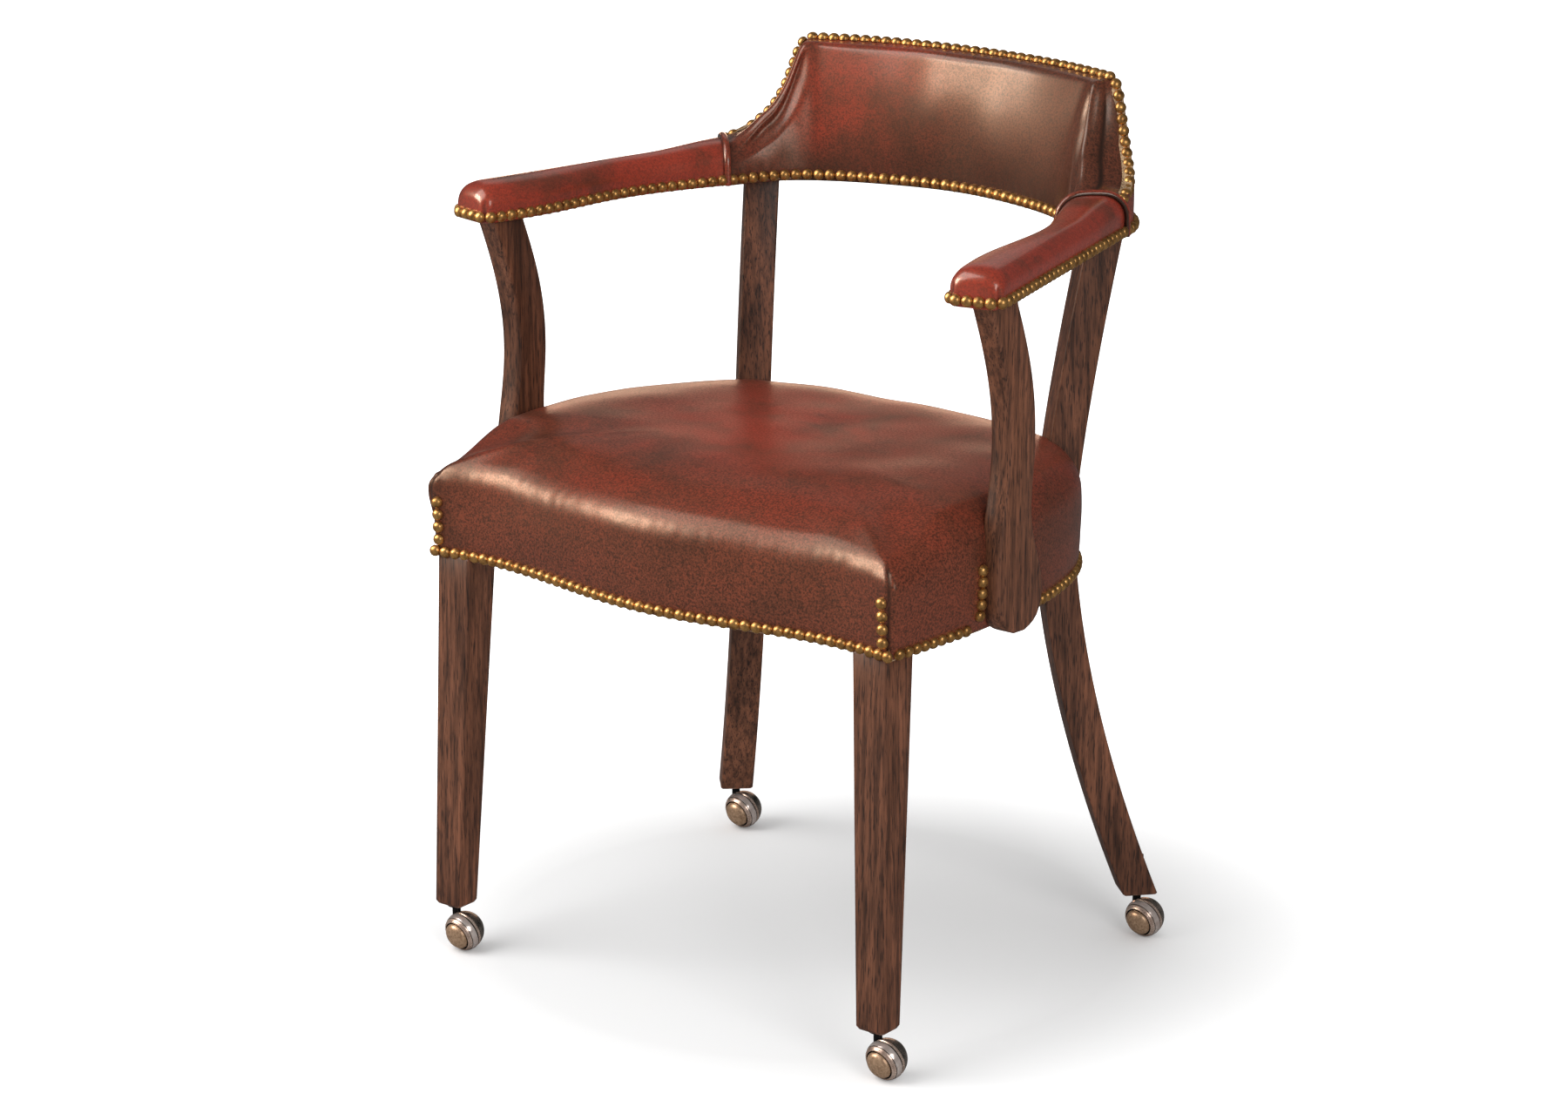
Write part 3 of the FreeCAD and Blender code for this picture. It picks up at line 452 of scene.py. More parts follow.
def sculpt(piece: bpy.types.Object, offset: PointRule) -> None:
    """Move every point along its normal.

    Args:
        piece: the mesh to shape.
        offset: millimetres outwards for a plan place and its normal.
    """
    normals = [v.normal.copy() for v in piece.data.vertices]
    moves = [offset(to_plan(v.co), n) * MM for v, n in zip(piece.data.vertices, normals)]
    for vert, normal, move in zip(piece.data.vertices, normals, moves):
        vert.co = vert.co + normal * move
    piece.data.update()


CLOTH_FRAMES = 20
EVENING_ROUNDS = 34


def swell(piece: bpy.types.Object, held: Callable[[int, Vector], bool], pressure: float,
          cap: float) -> None:
    """Blow a padded piece up as cloth, hold its nailed edges and keep the result.

    The moves are evened afterwards, so that the hide stays taut.

    Args:
        piece: closed mesh, a little smaller than the finished pad.
        held: says of a point's number and place whether it is nailed down.
        pressure: cloth pressure inside the pad.
        cap: furthest that a point may move, in millimetres.
    """
    rest = [v.co.copy() for v in piece.data.vertices]
    group = piece.vertex_groups.new(name="nailed")
    group.add([v.index for v in piece.data.vertices if held(v.index, v.co)], 1.0, "REPLACE")
    pick(piece)
    bpy.ops.object.modifier_add(type="CLOTH")
    cloth = piece.modifiers[-1]
    settings = cloth.settings
    settings.quality = 6
    settings.mass = 0.4
    settings.tension_stiffness = 25.0
    settings.compression_stiffness = 2.0
    settings.bending_stiffness = 8.0
    settings.use_pressure = True
    settings.uniform_pressure_force = pressure
    settings.vertex_group_mass = group.name
    settings.effector_weights.gravity = 0.0
    cloth.collision_settings.use_collision = False
    cloth.point_cache.frame_start = 1
    cloth.point_cache.frame_end = CLOTH_FRAMES
    for step in range(1, CLOTH_FRAMES + 1):
        bpy.context.scene.frame_set(step)
    bpy.ops.object.modifier_apply(modifier=cloth.name)
    moves = np.array([vert.co - start for vert, start in zip(piece.data.vertices, rest)])
    lengths = np.linalg.norm(moves, axis=1)
    moves *= np.minimum(1.0, cap * MM / np.maximum(lengths, 1e-9))[:, None]
    for vert, start, move in zip(piece.data.vertices, rest, evened(piece, moves, EVENING_ROUNDS)):
        vert.co = start + Vector(move)
    bpy.context.scene.frame_set(1)
    piece.vertex_groups.clear()
    piece.data.update()


def evened(piece: bpy.types.Object, moves: np.ndarray, times: int) -> np.ndarray:
    """Moves of a mesh's points, each averaged some times with those of its neighbours.

    Args:
        piece: the mesh.
        moves: one move for each point.
        times: how often they are averaged.

    Returns:
        The evened moves, zero where a point was held.
    """
    kept = 0.4
    ends = np.array([edge.vertices[:] for edge in piece.data.edges])
    still = np.linalg.norm(moves, axis=1) < 1e-7
    links = np.bincount(ends.ravel(), minlength=len(moves))[:, None]
    for _ in range(times):
        total = np.zeros_like(moves)
        np.add.at(total, ends[:, 0], moves[ends[:, 1]])
        np.add.at(total, ends[:, 1], moves[ends[:, 0]])
        moves = kept * moves + (1.0 - kept) * total / np.maximum(links, 1)
        moves[still] = 0.0
    return moves


def filleted(corners: Sequence[Sequence[float]], radii: Sequence[float], counts: Sequence[int],
             arc_count: int) -> np.ndarray:
    """Open path with rounded corners and a fixed number of points.

    Args:
        corners: the path's corners, ends included.
        radii: radius at each inner corner.
        counts: points on each straight run.
        arc_count: points on each rounded corner.

    Returns:
        The points in order.
    """
    pts = [np.array(c, float) for c in corners]
    starts, arcs = [pts[0]], []
    for before, corner, after, radius in zip(pts, pts[1:], pts[2:], radii):
        a, b = unit(before - corner), unit(after - corner)
        half = math.acos(max(-1.0, min(1.0, float(a @ b)))) / 2.0
        reach = min(radius / math.tan(half), np.linalg.norm(before - corner) * 0.49,
                    np.linalg.norm(after - corner) * 0.49)
        true_radius = reach * math.tan(half)
        middle = corner + unit(a + b) * true_radius / math.sin(half)
        first, last = corner + a * reach, corner + b * reach
        u, v = first - middle, last - middle
        span = math.acos(max(-1.0, min(1.0, float(u @ v) / (true_radius ** 2))))
        sweep = [(math.sin((1 - t) * span) * u + math.sin(t * span) * v) / math.sin(span) + middle
                 for t in np.linspace(0.0, 1.0, arc_count)]
        starts += [first, last]
        arcs.append(sweep)
    starts.append(pts[-1])
    path = []
    for i, count in enumerate(counts):
        low, high = starts[2 * i], starts[2 * i + 1]
        path += [low + (high - low) * t for t in np.linspace(0.0, 1.0, count + 1)[(1 if i else 0):]]
        if i < len(arcs):
            path += arcs[i][1:]
    return np.array(path)


# Finishes


@dataclass(frozen=True)
class Finish:
    """A finish by its name and how rough it is."""

    name: str
    roughness: float

    def shader(self) -> tuple[bpy.types.Material, bpy.types.NodeTree, bpy.types.Node]:
        """New material with its Principled shader.

        Returns:
            The material, its node tree and the shader node.
        """
        material = bpy.data.materials.new(self.name)
        material.use_nodes = True
        tree = material.node_tree
        principled = tree.nodes["Principled BSDF"]
        principled.inputs["Roughness"].default_value = self.roughness
        return material, tree, principled


def place_node(tree: bpy.types.NodeTree, kind: str, **settings: object) -> bpy.types.Node:
    """Add a node; settings that name a socket set it, others set the node itself."""
    node = tree.nodes.new(kind)
    for key, value in settings.items():
        if hasattr(node, key):
            setattr(node, key, value)
        else:
            node.inputs[key.replace("_", " ").title()].default_value = value
    return node


def graded(tree: bpy.types.NodeTree, source: bpy.types.NodeSocket,
           *stops: tuple[float, float]) -> bpy.types.NodeSocket:
    """Grey ramp fed by a socket, each of its stops a position and a value."""
    node = tree.nodes.new("ShaderNodeValToRGB")
    elements = node.color_ramp.elements
    for element, (at, value) in zip(elements, stops, strict=True):
        element.position = at
        element.color = (value, value, value, 1.0)
    tree.links.new(source, node.inputs["Fac"])
    return node.outputs["Color"]


def stored(tree: bpy.types.NodeTree, name: str) -> bpy.types.NodeSocket:
    """Number that a mesh stores for each of its points."""
    node = tree.nodes.new("ShaderNodeAttribute")
    node.attribute_name = name
    return node.outputs["Fac"]


def mixed(tree: bpy.types.NodeTree, share: object, first: object, second: object,
          way: str = "MIX") -> bpy.types.NodeSocket:
    """Mix of two colours; each of the three may be a socket or a value."""
    node = tree.nodes.new("ShaderNodeMix")
    node.data_type = "RGBA"
    node.blend_type = way
    for socket, value in ((node.inputs[0], share), (node.inputs[6], first), (node.inputs[7], second)):
        if isinstance(value, bpy.types.NodeSocket):
            tree.links.new(value, socket)
        elif isinstance(value, tuple):
            socket.default_value = (*value, 1.0)
        else:
            socket.default_value = value
    return node.outputs[2]


def worked(tree: bpy.types.NodeTree, operation: str, first: object, second: object,
           clamped: bool = True) -> bpy.types.NodeSocket:
    """Result of one piece of arithmetic on two sockets or numbers."""
    node = tree.nodes.new("ShaderNodeMath")
    node.operation = operation
    node.use_clamp = clamped
    for socket, value in zip(node.inputs, (first, second)):
        if isinstance(value, bpy.types.NodeSocket):
            tree.links.new(value, socket)
        else:
            socket.default_value = value
    return node.outputs[0]


def new_group(name: str, inputs: dict[str, float],
              outputs: Sequence[str]) -> tuple[bpy.types.NodeTree, bpy.types.Node, bpy.types.Node]:
    """Shader group with number inputs and outputs.

    Args:
        name: the group's name.
        inputs: input names and their usual values.
        outputs: output names.

    Returns:
        The group, its input node and its output node.
    """
    group = bpy.data.node_groups.new(name, "ShaderNodeTree")
    for key, value in inputs.items():
        socket = group.interface.new_socket(key, in_out="INPUT", socket_type="NodeSocketFloat")
        socket.default_value = value
    for key in outputs:
        group.interface.new_socket(key, in_out="OUTPUT", socket_type="NodeSocketFloat")
    return group, group.nodes.new("NodeGroupInput"), group.nodes.new("NodeGroupOutput")


def cloudy_group() -> bpy.types.NodeTree:
    """Group for broad, uneven patches and fine specks over them."""
    group, given, put = new_group("cloudy specks", {"Patch Scale": 14.0, "Speck Scale": 800.0},
                                  ["Patch", "Speck"])
    coord = group.nodes.new("ShaderNodeTexCoord").outputs["Object"]
    patch = place_node(group, "ShaderNodeTexNoise", detail=4.0, roughness=0.62, distortion=0.35)
    speck = place_node(group, "ShaderNodeTexNoise", detail=3.0, roughness=0.75)
    for node, key in ((patch, "Patch Scale"), (speck, "Speck Scale")):
        group.links.new(coord, node.inputs["Vector"])
        group.links.new(given.outputs[key], node.inputs["Scale"])
    group.links.new(patch.outputs["Fac"], put.inputs["Patch"])
    group.links.new(speck.outputs["Fac"], put.inputs["Speck"])
    return group


def grain_group() -> bpy.types.NodeTree:
    """Group for the fine pebble of a hide."""
    group, given, put = new_group("hide grain", {"Scale": 900.0}, ["Height"])
    coord = group.nodes.new("ShaderNodeTexCoord").outputs["Object"]
    cell = place_node(group, "ShaderNodeTexVoronoi", feature="SMOOTH_F1", Smoothness=0.6)
    fine = place_node(group, "ShaderNodeTexNoise", detail=4.0)
    wider = worked(group, "MULTIPLY", given.outputs["Scale"], 0.45, clamped=False)
    for node, scale in ((cell, given.outputs["Scale"]), (fine, wider)):
        group.links.new(coord, node.inputs["Vector"])
        group.links.new(scale, node.inputs["Scale"])
    height = worked(group, "ADD", worked(group, "MULTIPLY", cell.outputs["Distance"], 0.5),
                    worked(group, "MULTIPLY", fine.outputs["Fac"], 0.5))
    group.links.new(height, put.inputs["Height"])
    return group


def figure_group() -> bpy.types.NodeTree:
    """Group for upright wood figure: long streaks, pores and slow colour change."""
    group, given, put = new_group("wood figure", {"Scale": 1.0}, ["Streak", "Pore", "Slow"])
    coord = group.nodes.new("ShaderNodeTexCoord").outputs["Object"]
    layers = (("Streak", 0.045, 260.0, 5.0), ("Pore", 0.06, 900.0, 2.0), ("Slow", 0.25, 22.0, 3.0))
    for key, stretch, scale, detail in layers:
        mapping = group.nodes.new("ShaderNodeMapping")
        mapping.inputs["Scale"].default_value = (1.0, 1.0, stretch)
        wave = place_node(group, "ShaderNodeTexNoise", detail=detail, distortion=0.3)
        size = worked(group, "MULTIPLY", given.outputs["Scale"], scale, clamped=False)
        group.links.new(coord, mapping.inputs["Vector"])
        group.links.new(mapping.outputs["Vector"], wave.inputs["Vector"])
        group.links.new(size, wave.inputs["Scale"])
        group.links.new(wave.outputs["Fac"], put.inputs[key])
    return group


@dataclass(frozen=True)
class Groups:
    """The shared effects."""

    cloudy: bpy.types.NodeTree
    grain: bpy.types.NodeTree
    figure: bpy.types.NodeTree


def use_group(tree: bpy.types.NodeTree, group: bpy.types.NodeTree, **values: float) -> bpy.types.Node:
    """Place a shared effect in a material with its own values."""
    node = tree.nodes.new("ShaderNodeGroup")
    node.node_tree = group
    for key, value in values.items():
        node.inputs[key.replace("_", " ")].default_value = value
    return node


def raised(tree: bpy.types.NodeTree, principled: bpy.types.Node, height: bpy.types.NodeSocket,
           depth: float, strength: float) -> None:
    """Bump a shader by a height socket, its depth in metres."""
    node = tree.nodes.new("ShaderNodeBump")
    node.inputs["Strength"].default_value = strength
    node.inputs["Distance"].default_value = depth
    tree.links.new(height, node.inputs["Height"])
    tree.links.new(node.outputs["Normal"], principled.inputs["Normal"])


@dataclass(frozen=True)
class LeatherFinish(Finish):
    """Oxblood hide with dark grain specks; shade painted into its seams and folds, light painted in as red.
    """

    red: Colour = (0.350, 0.038, 0.019)
    brown: Colour = (0.165, 0.046, 0.023)
    dark: Colour = (0.026, 0.010, 0.007)
    sheen: Colour = (1.0, 0.70, 0.50)
    patch_scale: float = 13.0
    speck_scale: float = 520.0
    grain_scale: float = 1100.0
    grain_depth: float = 0.0003
    specular: float = 0.65
    coat_least: float = 0.05
    coat_gain: float = 0.75
    coat_roughness: float = 0.16

    def build(self, groups: Groups) -> bpy.types.Material:
        """The finished material."""
        material, tree, principled = self.shader()
        clouds = use_group(tree, groups.cloudy, Patch_Scale=self.patch_scale, Speck_Scale=self.speck_scale)
        patch, speck = clouds.outputs["Patch"], clouds.outputs["Speck"]
        # Painted light: a stored share, higher where light falls, turns the hide from brown to red and thins
        # its specks.
        painted_light = stored(tree, "painted_light")
        broad = graded(tree, patch, (0.34, 0.0), (0.68, 1.0))
        redness = worked(tree, "MULTIPLY", worked(tree, "ADD", broad, 0.25), painted_light)
        base = mixed(tree, worked(tree, "MULTIPLY", redness, 1.6), self.brown, self.red)
        dots = graded(tree, speck, (0.40, 1.0), (0.58, 0.0))
        strength = worked(tree, "SUBTRACT", 0.9, worked(tree, "MULTIPLY", painted_light, 0.42))
        base = mixed(tree, worked(tree, "MULTIPLY", dots, strength), base, self.dark)
        base = mixed(tree, graded(tree, patch, (0.30, 0.35), (0.52, 0.0)), base, self.dark)
        # Painted shade: the stored share darkens seams, folds, pleats, low edges and the gaps at the cuffs.
        base = mixed(tree, stored(tree, "painted_shade"), base, self.dark)
        tree.links.new(base, principled.inputs["Base Color"])
        gloss = graded(tree, speck, (0.3, self.roughness + 0.08), (0.7, self.roughness - 0.04))
        tree.links.new(gloss, principled.inputs["Roughness"])
        principled.inputs["Specular IOR Level"].default_value = self.specular
        principled.inputs["Specular Tint"].default_value = (*self.sheen, 1.0)
        principled.inputs["Coat Roughness"].default_value = self.coat_roughness
        polished = worked(tree, "MULTIPLY", stored(tree, "polish"), self.coat_gain)
        tree.links.new(worked(tree, "ADD", polished, self.coat_least), principled.inputs["Coat Weight"])
        grain = use_group(tree, groups.grain, Scale=self.grain_scale)
        raised(tree, principled, grain.outputs["Height"], self.grain_depth, 0.22)
        return material


@dataclass(frozen=True)
class WoodFinish(Finish):
    """Dark stained hardwood with upright figure under a satin lacquer."""

    light: Colour = (0.215, 0.080, 0.040)
    deep: Colour = (0.090, 0.035, 0.019)
    pore: Colour = (0.012, 0.008, 0.007)
    pore_share: float = 0.75
    pore_depth: float = 0.0002
    specular: float = 0.24
    coat: float = 0.08
    coat_roughness: float = 0.3

    def build(self, groups: Groups) -> bpy.types.Material:
        """The finished material."""
        material, tree, principled = self.shader()
        figure = use_group(tree, groups.figure, Scale=1.0)
        streak = graded(tree, figure.outputs["Streak"], (0.36, 0.0), (0.60, 1.0))
        base = mixed(tree, streak, self.deep, self.light)
        slow = graded(tree, figure.outputs["Slow"], (0.35, 0.55), (0.7, 1.15))
        base = mixed(tree, 1.0, base, slow, "MULTIPLY")
        pores = graded(tree, figure.outputs["Pore"], (0.36, 1.0), (0.46, 0.0))
        base = mixed(tree, worked(tree, "MULTIPLY", pores, self.pore_share), base, self.pore)
        tree.links.new(base, principled.inputs["Base Color"])
        principled.inputs["Specular IOR Level"].default_value = self.specular
        principled.inputs["Coat Weight"].default_value = self.coat
        principled.inputs["Coat Roughness"].default_value = self.coat_roughness
        raised(tree, principled, figure.outputs["Pore"], self.pore_depth, 0.25)
        return material


@dataclass(frozen=True)
class MetalFinish(Finish):
    """Antiqued metal: bright and tarnished in uneven patches."""

    bright: Colour
    tarnish: Colour
    patch_scale: float = 90.0
    metal: float = 1.0
    speck_scale: float = 1500.0
    unevenness: float = 0.14

    def build(self, groups: Groups) -> bpy.types.Material:
        """The finished material."""
        material, tree, principled = self.shader()
        clouds = use_group(tree, groups.cloudy, Patch_Scale=self.patch_scale, Speck_Scale=self.speck_scale)
        worn = graded(tree, clouds.outputs["Patch"], (0.30, 0.0), (0.62, 1.0))
        tree.links.new(mixed(tree, worn, self.tarnish, self.bright), principled.inputs["Base Color"])
        rough = graded(tree, clouds.outputs["Speck"], (0.3, self.roughness + self.unevenness),
                       (0.7, self.roughness))
        tree.links.new(rough, principled.inputs["Roughness"])
        principled.inputs["Metallic"].default_value = self.metal
        return material


@dataclass(frozen=True)
class ClothFinish(Finish):
    """Plain woven cloth, webbing or foam."""

    light: Colour = (0.045, 0.045, 0.045)
    deep: Colour = (0.012, 0.012, 0.012)
    thread: float = 300.0
    thread_depth: float = 0.0002

    def build(self, groups: Groups) -> bpy.types.Material:
        """The finished material, which needs none of the shared groups."""
        material, tree, principled = self.shader()
        coord = tree.nodes.new("ShaderNodeTexCoord").outputs["Object"]
        waves = []
        for direction in ("X", "Y"):
            wave = place_node(tree, "ShaderNodeTexWave", bands_direction=direction, wave_type="BANDS")
            wave.inputs["Scale"].default_value = self.thread
            wave.inputs["Distortion"].default_value = 0.6
            tree.links.new(coord, wave.inputs["Vector"])
            waves.append(wave.outputs["Fac"])
        weave = worked(tree, "MULTIPLY", *waves)
        tree.links.new(mixed(tree, weave, self.deep, self.light), principled.inputs["Base Color"])
        raised(tree, principled, weave, self.thread_depth, 0.5)
        return material


class Palette:
    """Every material of the chair, made once."""

    def __init__(self) -> None:
        """Build the shared groups and the materials on them."""
        groups = Groups(cloudy_group(), grain_group(), figure_group())
        self.leather = LeatherFinish("oxblood leather", 0.33).build(groups)
        self.wood = WoodFinish("stained mahogany", 0.42).build(groups)
        self.beech = WoodFinish("bare beech", 0.6, (0.55, 0.37, 0.21),
                                (0.36, 0.22, 0.12)).build(groups)
        self.nails = MetalFinish("antique brass", 0.3, (0.74, 0.40, 0.13),
                                 (0.26, 0.115, 0.035), 160.0, 0.88).build(groups)
        self.copper = MetalFinish("antique copper", 0.30, (0.62, 0.41, 0.26),
                                  (0.30, 0.17, 0.10), 420.0, 0.6).build(groups)
        self.rim = MetalFinish("copper rim", 0.2, (0.80, 0.62, 0.52),
                               (0.46, 0.31, 0.24), 90.0, 0.7).build(groups)
        self.groove = MetalFinish("dark groove", 0.5, (0.02, 0.024, 0.022),
                                  (0.008, 0.009, 0.008)).build(groups)
        self.hood = MetalFinish("tarnished hood", 0.22, (0.34, 0.28, 0.24),
                                (0.03, 0.035, 0.03), 70.0, 0.8).build(groups)
        self.bright = MetalFinish("polished tread", 0.12, (0.95, 0.84, 0.78),
                                  (0.60, 0.46, 0.40), 75.0, 0.7).build(groups)
        self.steel = MetalFinish("blackened steel", 0.4, (0.045, 0.045, 0.05),
                                 (0.02, 0.02, 0.02)).build(groups)
        self.zinc = MetalFinish("zinc steel", 0.3, (0.6, 0.6, 0.6),
                                (0.4, 0.4, 0.4)).build(groups)
        self.lining = ClothFinish("black lining", 0.85).build(groups)
        self.webbing = ClothFinish("jute webbing", 0.9, (0.52, 0.40, 0.25),
                                   (0.3, 0.21, 0.12), 500.0 / 3.0).build(groups)
        self.foam = ClothFinish("seat foam", 0.9, (0.85, 0.79, 0.58),
                                (0.7, 0.62, 0.42), 400.0).build(groups)

    def by_slot(self, slot: Slot) -> bpy.types.Material:
        """Material of a CAD node's slot."""
        return {Slot.LEATHER: self.leather, Slot.WOOD: self.wood, Slot.BEECH: self.beech,
                Slot.NAILS: self.nails, Slot.COPPER: self.copper, Slot.STEEL: self.steel,
                Slot.ZINC: self.zinc, Slot.LINING: self.lining, Slot.WEBBING: self.webbing,
                Slot.FOAM: self.foam}[slot]


def dress(piece: bpy.types.Object, material: bpy.types.Material, body: str) -> None:
    """Give a new piece its finish and the body it rides on."""
    piece.data.materials.clear()
    piece.data.materials.append(material)
    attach(piece, body)


def set_stain(piece: bpy.types.Object, name: str, depth: PointRule, under: str = "") -> None:
    """Store a number from 0 to 1 for each point, for the leather's colour and gloss to read.

    Args:
        piece: the hide.
        name: the layer; one holds painted shade in seams, folds and gaps, one painted light
        that reddens the hide, and "polish" how far the hide was polished glossy.
        depth: the number for a plan place and its normal.
        under: layer whose numbers are added, if any.
    """
    vertices = piece.data.vertices
    piece.data.attributes.new(name, "FLOAT", "POINT")
    given = piece.data.attributes[under].data if under else None
    start = [point.value for point in given] if given else [0.0] * len(vertices)
    values = [min(1.0, max(0.0, was + depth(to_plan(vert.co), vert.normal)))
              for vert, was in zip(vertices, start)]
    piece.data.attributes[name].data.foreach_set("value", values)


# Upholstery


@dataclass(frozen=True)
class Rim:
    """How the seat's wall turns over into its top, in millimetres and degrees."""

    wall_top: float
    rounding: float
    swing: float
    crown_fall: float


@dataclass
class SeatUpholstery:
    """Seat pad and its leather, drawn over the rails and nailed along their lower edge."""

    bulge: float = 5.5
    front_rim: Rim = Rim(459.0, 28.0, 70.0, 2.77)
    other_rim: Rim = Rim(467.0, 31.0, 71.0, 4.0)
    front_blend: tuple[float, float] = (105.0, 188.0)
    puff: float = 3.0
    side_puff: float = 7.5
    crown_reach: float = 150.0
    corner_out: float = 4.5
    corner_drop: float = 5.0
    corner_reach: float = 75.0
    front_points: int = 92
    side_points: int = 70
    rear_points: int = 60
    wall_rings: int = 15
    edge_rings: int = 10
    crown_rings: int = 22
    swell_room: float = 1.2
    pressure: float = 3.0
    swell_cap: float = 4.0
    gather: float = 0.3
    pucker: float = 0.15
    nail_press: float = 0.9
    slack: float = 0.8
    fold_depth: float = 0.6
    seam_depth: float = 1.6
    seam_half: float = 2.6

    def profile(self, rim: Rim) -> np.ndarray:
        """Height, growth and inwards share of each ring, from the turned-under edge to the crown."""
        bottom = LEVELS.rail_bottom
        levels = [(bottom + 0.6, -9.0, 0.0), (bottom, -4.0, 0.0), (bottom + 0.2, -0.6, 0.0)]
        for i in range(1, self.wall_rings + 1):
            share = i / self.wall_rings
            levels.append((bottom + (rim.wall_top - bottom) * share,
                           self.bulge * math.sin(math.pi * share * 0.58), 0.0))
        grow = levels[-1][1]
        for i in range(1, self.edge_rings + 1):
            angle = math.radians(rim.swing * i / self.edge_rings)
            levels.append((rim.wall_top + rim.rounding * math.sin(angle),
                           grow - rim.rounding * (1.0 - math.cos(angle)), 0.0))
        edge_z, edge_grow, _ = levels[-1]
        for i in range(1, self.crown_rings + 1):
            share = i / self.crown_rings
            rise = 1.0 - (1.0 - share) ** rim.crown_fall
            levels.append((edge_z + (LEVELS.seat_crown + self.puff - edge_z) * rise,
                           edge_grow - self.crown_reach * share, share))
        return np.array(levels)

    def ring(self, outline: np.ndarray, first: np.ndarray, other: np.ndarray) -> list[Vector]:
        """One ring of the pad.

        Args:
            outline: the seat's outline at its rail.
            first: the front's height, growth and inwards share.
            other: the same for the other sides.

        Returns:
            The ring's places in the shared frame.
        """
        height, growth, inwards = first
        drawn_in = self.swell_room * ramp(height, LEVELS.rail_bottom + 12.0, LEVELS.rail_bottom + 40.0)
        front, rest = (SEAT.grown(outline, level[1] - drawn_in) for level in (first, other))
        fuller = SEAT.grown(outline, growth - drawn_in + self.corner_out * bump(height, 462.0, 40.0))
        outer = (1.0 - inwards) ** 2
        drop = self.corner_drop * ramp(height, 425.0, 484.0) * outer
        corner_y = SEAT.front(SEAT.corner_x)
        spots = []
        for i, (flat_x, flat_y) in enumerate(outline):
            share = ramp(-flat_y, *self.front_blend)
            corner = bump(math.hypot(abs(flat_x) - SEAT.corner_x, flat_y - corner_y), 0.0, self.corner_reach)
            x, y = rest[i] + (front[i] - rest[i]) * share + (fuller[i] - front[i]) * corner
            z = other[0] + (height - other[0]) * share
            full = self.side_puff * bump(y, -75.0, 235.0) * ramp(z, 462.0, 497.0) * outer * (1.0 - share)
            spots.append((x, y, z + full * ramp(abs(x), 60.0, 190.0) - drawn_in - drop * corner))
        return to_row(spots)

    def build(self) -> bpy.types.Object:
        """The padded seat."""
        outline = SEAT.outline(self.front_points, self.side_points, self.rear_points, soften=3)
        rings = [self.ring(outline, first, other)
                 for first, other in zip(self.profile(self.front_rim), self.profile(self.other_rim))]
        piece = loft("seat_upholstery", rings, low="grid", high="grid")
        nailed = (LEVELS.rail_bottom + 9.0) * MM
        swell(piece, lambda index, place: place.z < nailed, self.pressure, self.swell_cap)
        finish_modifier(piece, "SUBSURF", levels=1, render_levels=1)
        sculpt(piece, self.relief)
        # Painted shade in the stitched corner seams.
        set_stain(piece, "painted_shade", self.seam)
        # Painted light: the top is redder and lighter than the front band.
        set_stain(piece, "painted_light", self.painted_red_light)
        self.notch_legs(piece)
        shade(piece)
        return piece

    def seam(self, place: Place, normal: Vector) -> float:
        """How near a point is to the stitched corner seams."""
        x, y, z = place
        dx, dy = abs(x) - SEAT.corner_x, y - SEAT.front(SEAT.corner_x)
        line = bump((dx + dy) / math.sqrt(2.0), 0.0, self.seam_half)
        return line * ramp(-math.hypot(dx, dy), -26.0, -22.0) * ramp(-z, -476.0, -470.0)

    def painted_red_light(self, place: Place, normal: Vector) -> float:
        """Painted light: how red a point is made, most in the middle of the top, least on the front band."""
        x, y, z = place
        middle = bump(math.hypot(x + 20.0, y - 20.0), 0.0, 190.0)
        return 0.12 + 0.2 * ramp(z, 455.0, 490.0) + 0.52 * middle * ramp(z, 470.0, 500.0)

    def relief(self, place: Place, normal: Vector) -> float:
        """Millimetres by which gathers, nails and seams move the hide."""
        x, y, z = place
        ahead = max(0.0, -normal.y) ** 2
        along = x if abs(normal.y) > abs(normal.x) else y
        drift = noise.noise(Vector((x, y, z)) * 0.018)
        flutter = noise.noise(Vector((x * 0.15, y * 0.15, z * 0.02 + 7.0)))
        edge = bump(z, 468.0, 26.0) * (0.35 + 0.65 * ahead)
        move = self.gather * edge * flutter
        near_nails = bump(z, LEVELS.rail_bottom + NAIL_RISE + 7.0, 9.0) * ramp(z, 390.0, 394.0)
        move += self.pucker * near_nails * math.cos(2.0 * math.pi * along / NAIL_PITCH)
        move -= self.nail_press * bump(z, LEVELS.rail_bottom + NAIL_RISE, 6.5)
        move += self.slack * drift * ramp(z, 440.0, 500.0)
        move += self.corner_fold(place)
        return move - self.seam_depth * self.seam(place, normal)

    def corner_fold(self, place: Place) -> float:
        """Small fan of folds where a corner seam ends at the top."""
        x, y, z = place
        dx, dy = abs(x) - SEAT.corner_x + 2.0, y - SEAT.front(SEAT.corner_x) - 2.0
        away = math.sqrt(dx * dx + dy * dy + (z - 470.0) ** 2)
        fan = math.cos(4.0 * (math.atan2(dy, -dx) - math.pi / 4.0))
        return self.fold_depth * bump(away, 8.0, 16.0) * fan * ramp(z, 460.0, 470.0)

    def notch_legs(self, piece: bpy.types.Object) -> None:
        """Cut the hide away round the two rear legs that pass it."""
        for side in SIDES.values():
            cutter = RearLeg(side, grow=0.8).build("leg_room")
            finish_modifier(piece, "BOOLEAN", operation="DIFFERENCE", object=cutter, solver="EXACT")
            bpy.data.objects.remove(cutter)


def from_seam(place: Place) -> float:
    """How far in front of the seam between arm and back a place lies, in millimetres."""
    inner, across = YOKE.inner(YOKE.seam_at), YOKE.across(YOKE.seam_at)
    return float((abs(place[0]) - inner[0]) * across[1] - (place[1] - inner[1]) * across[0])


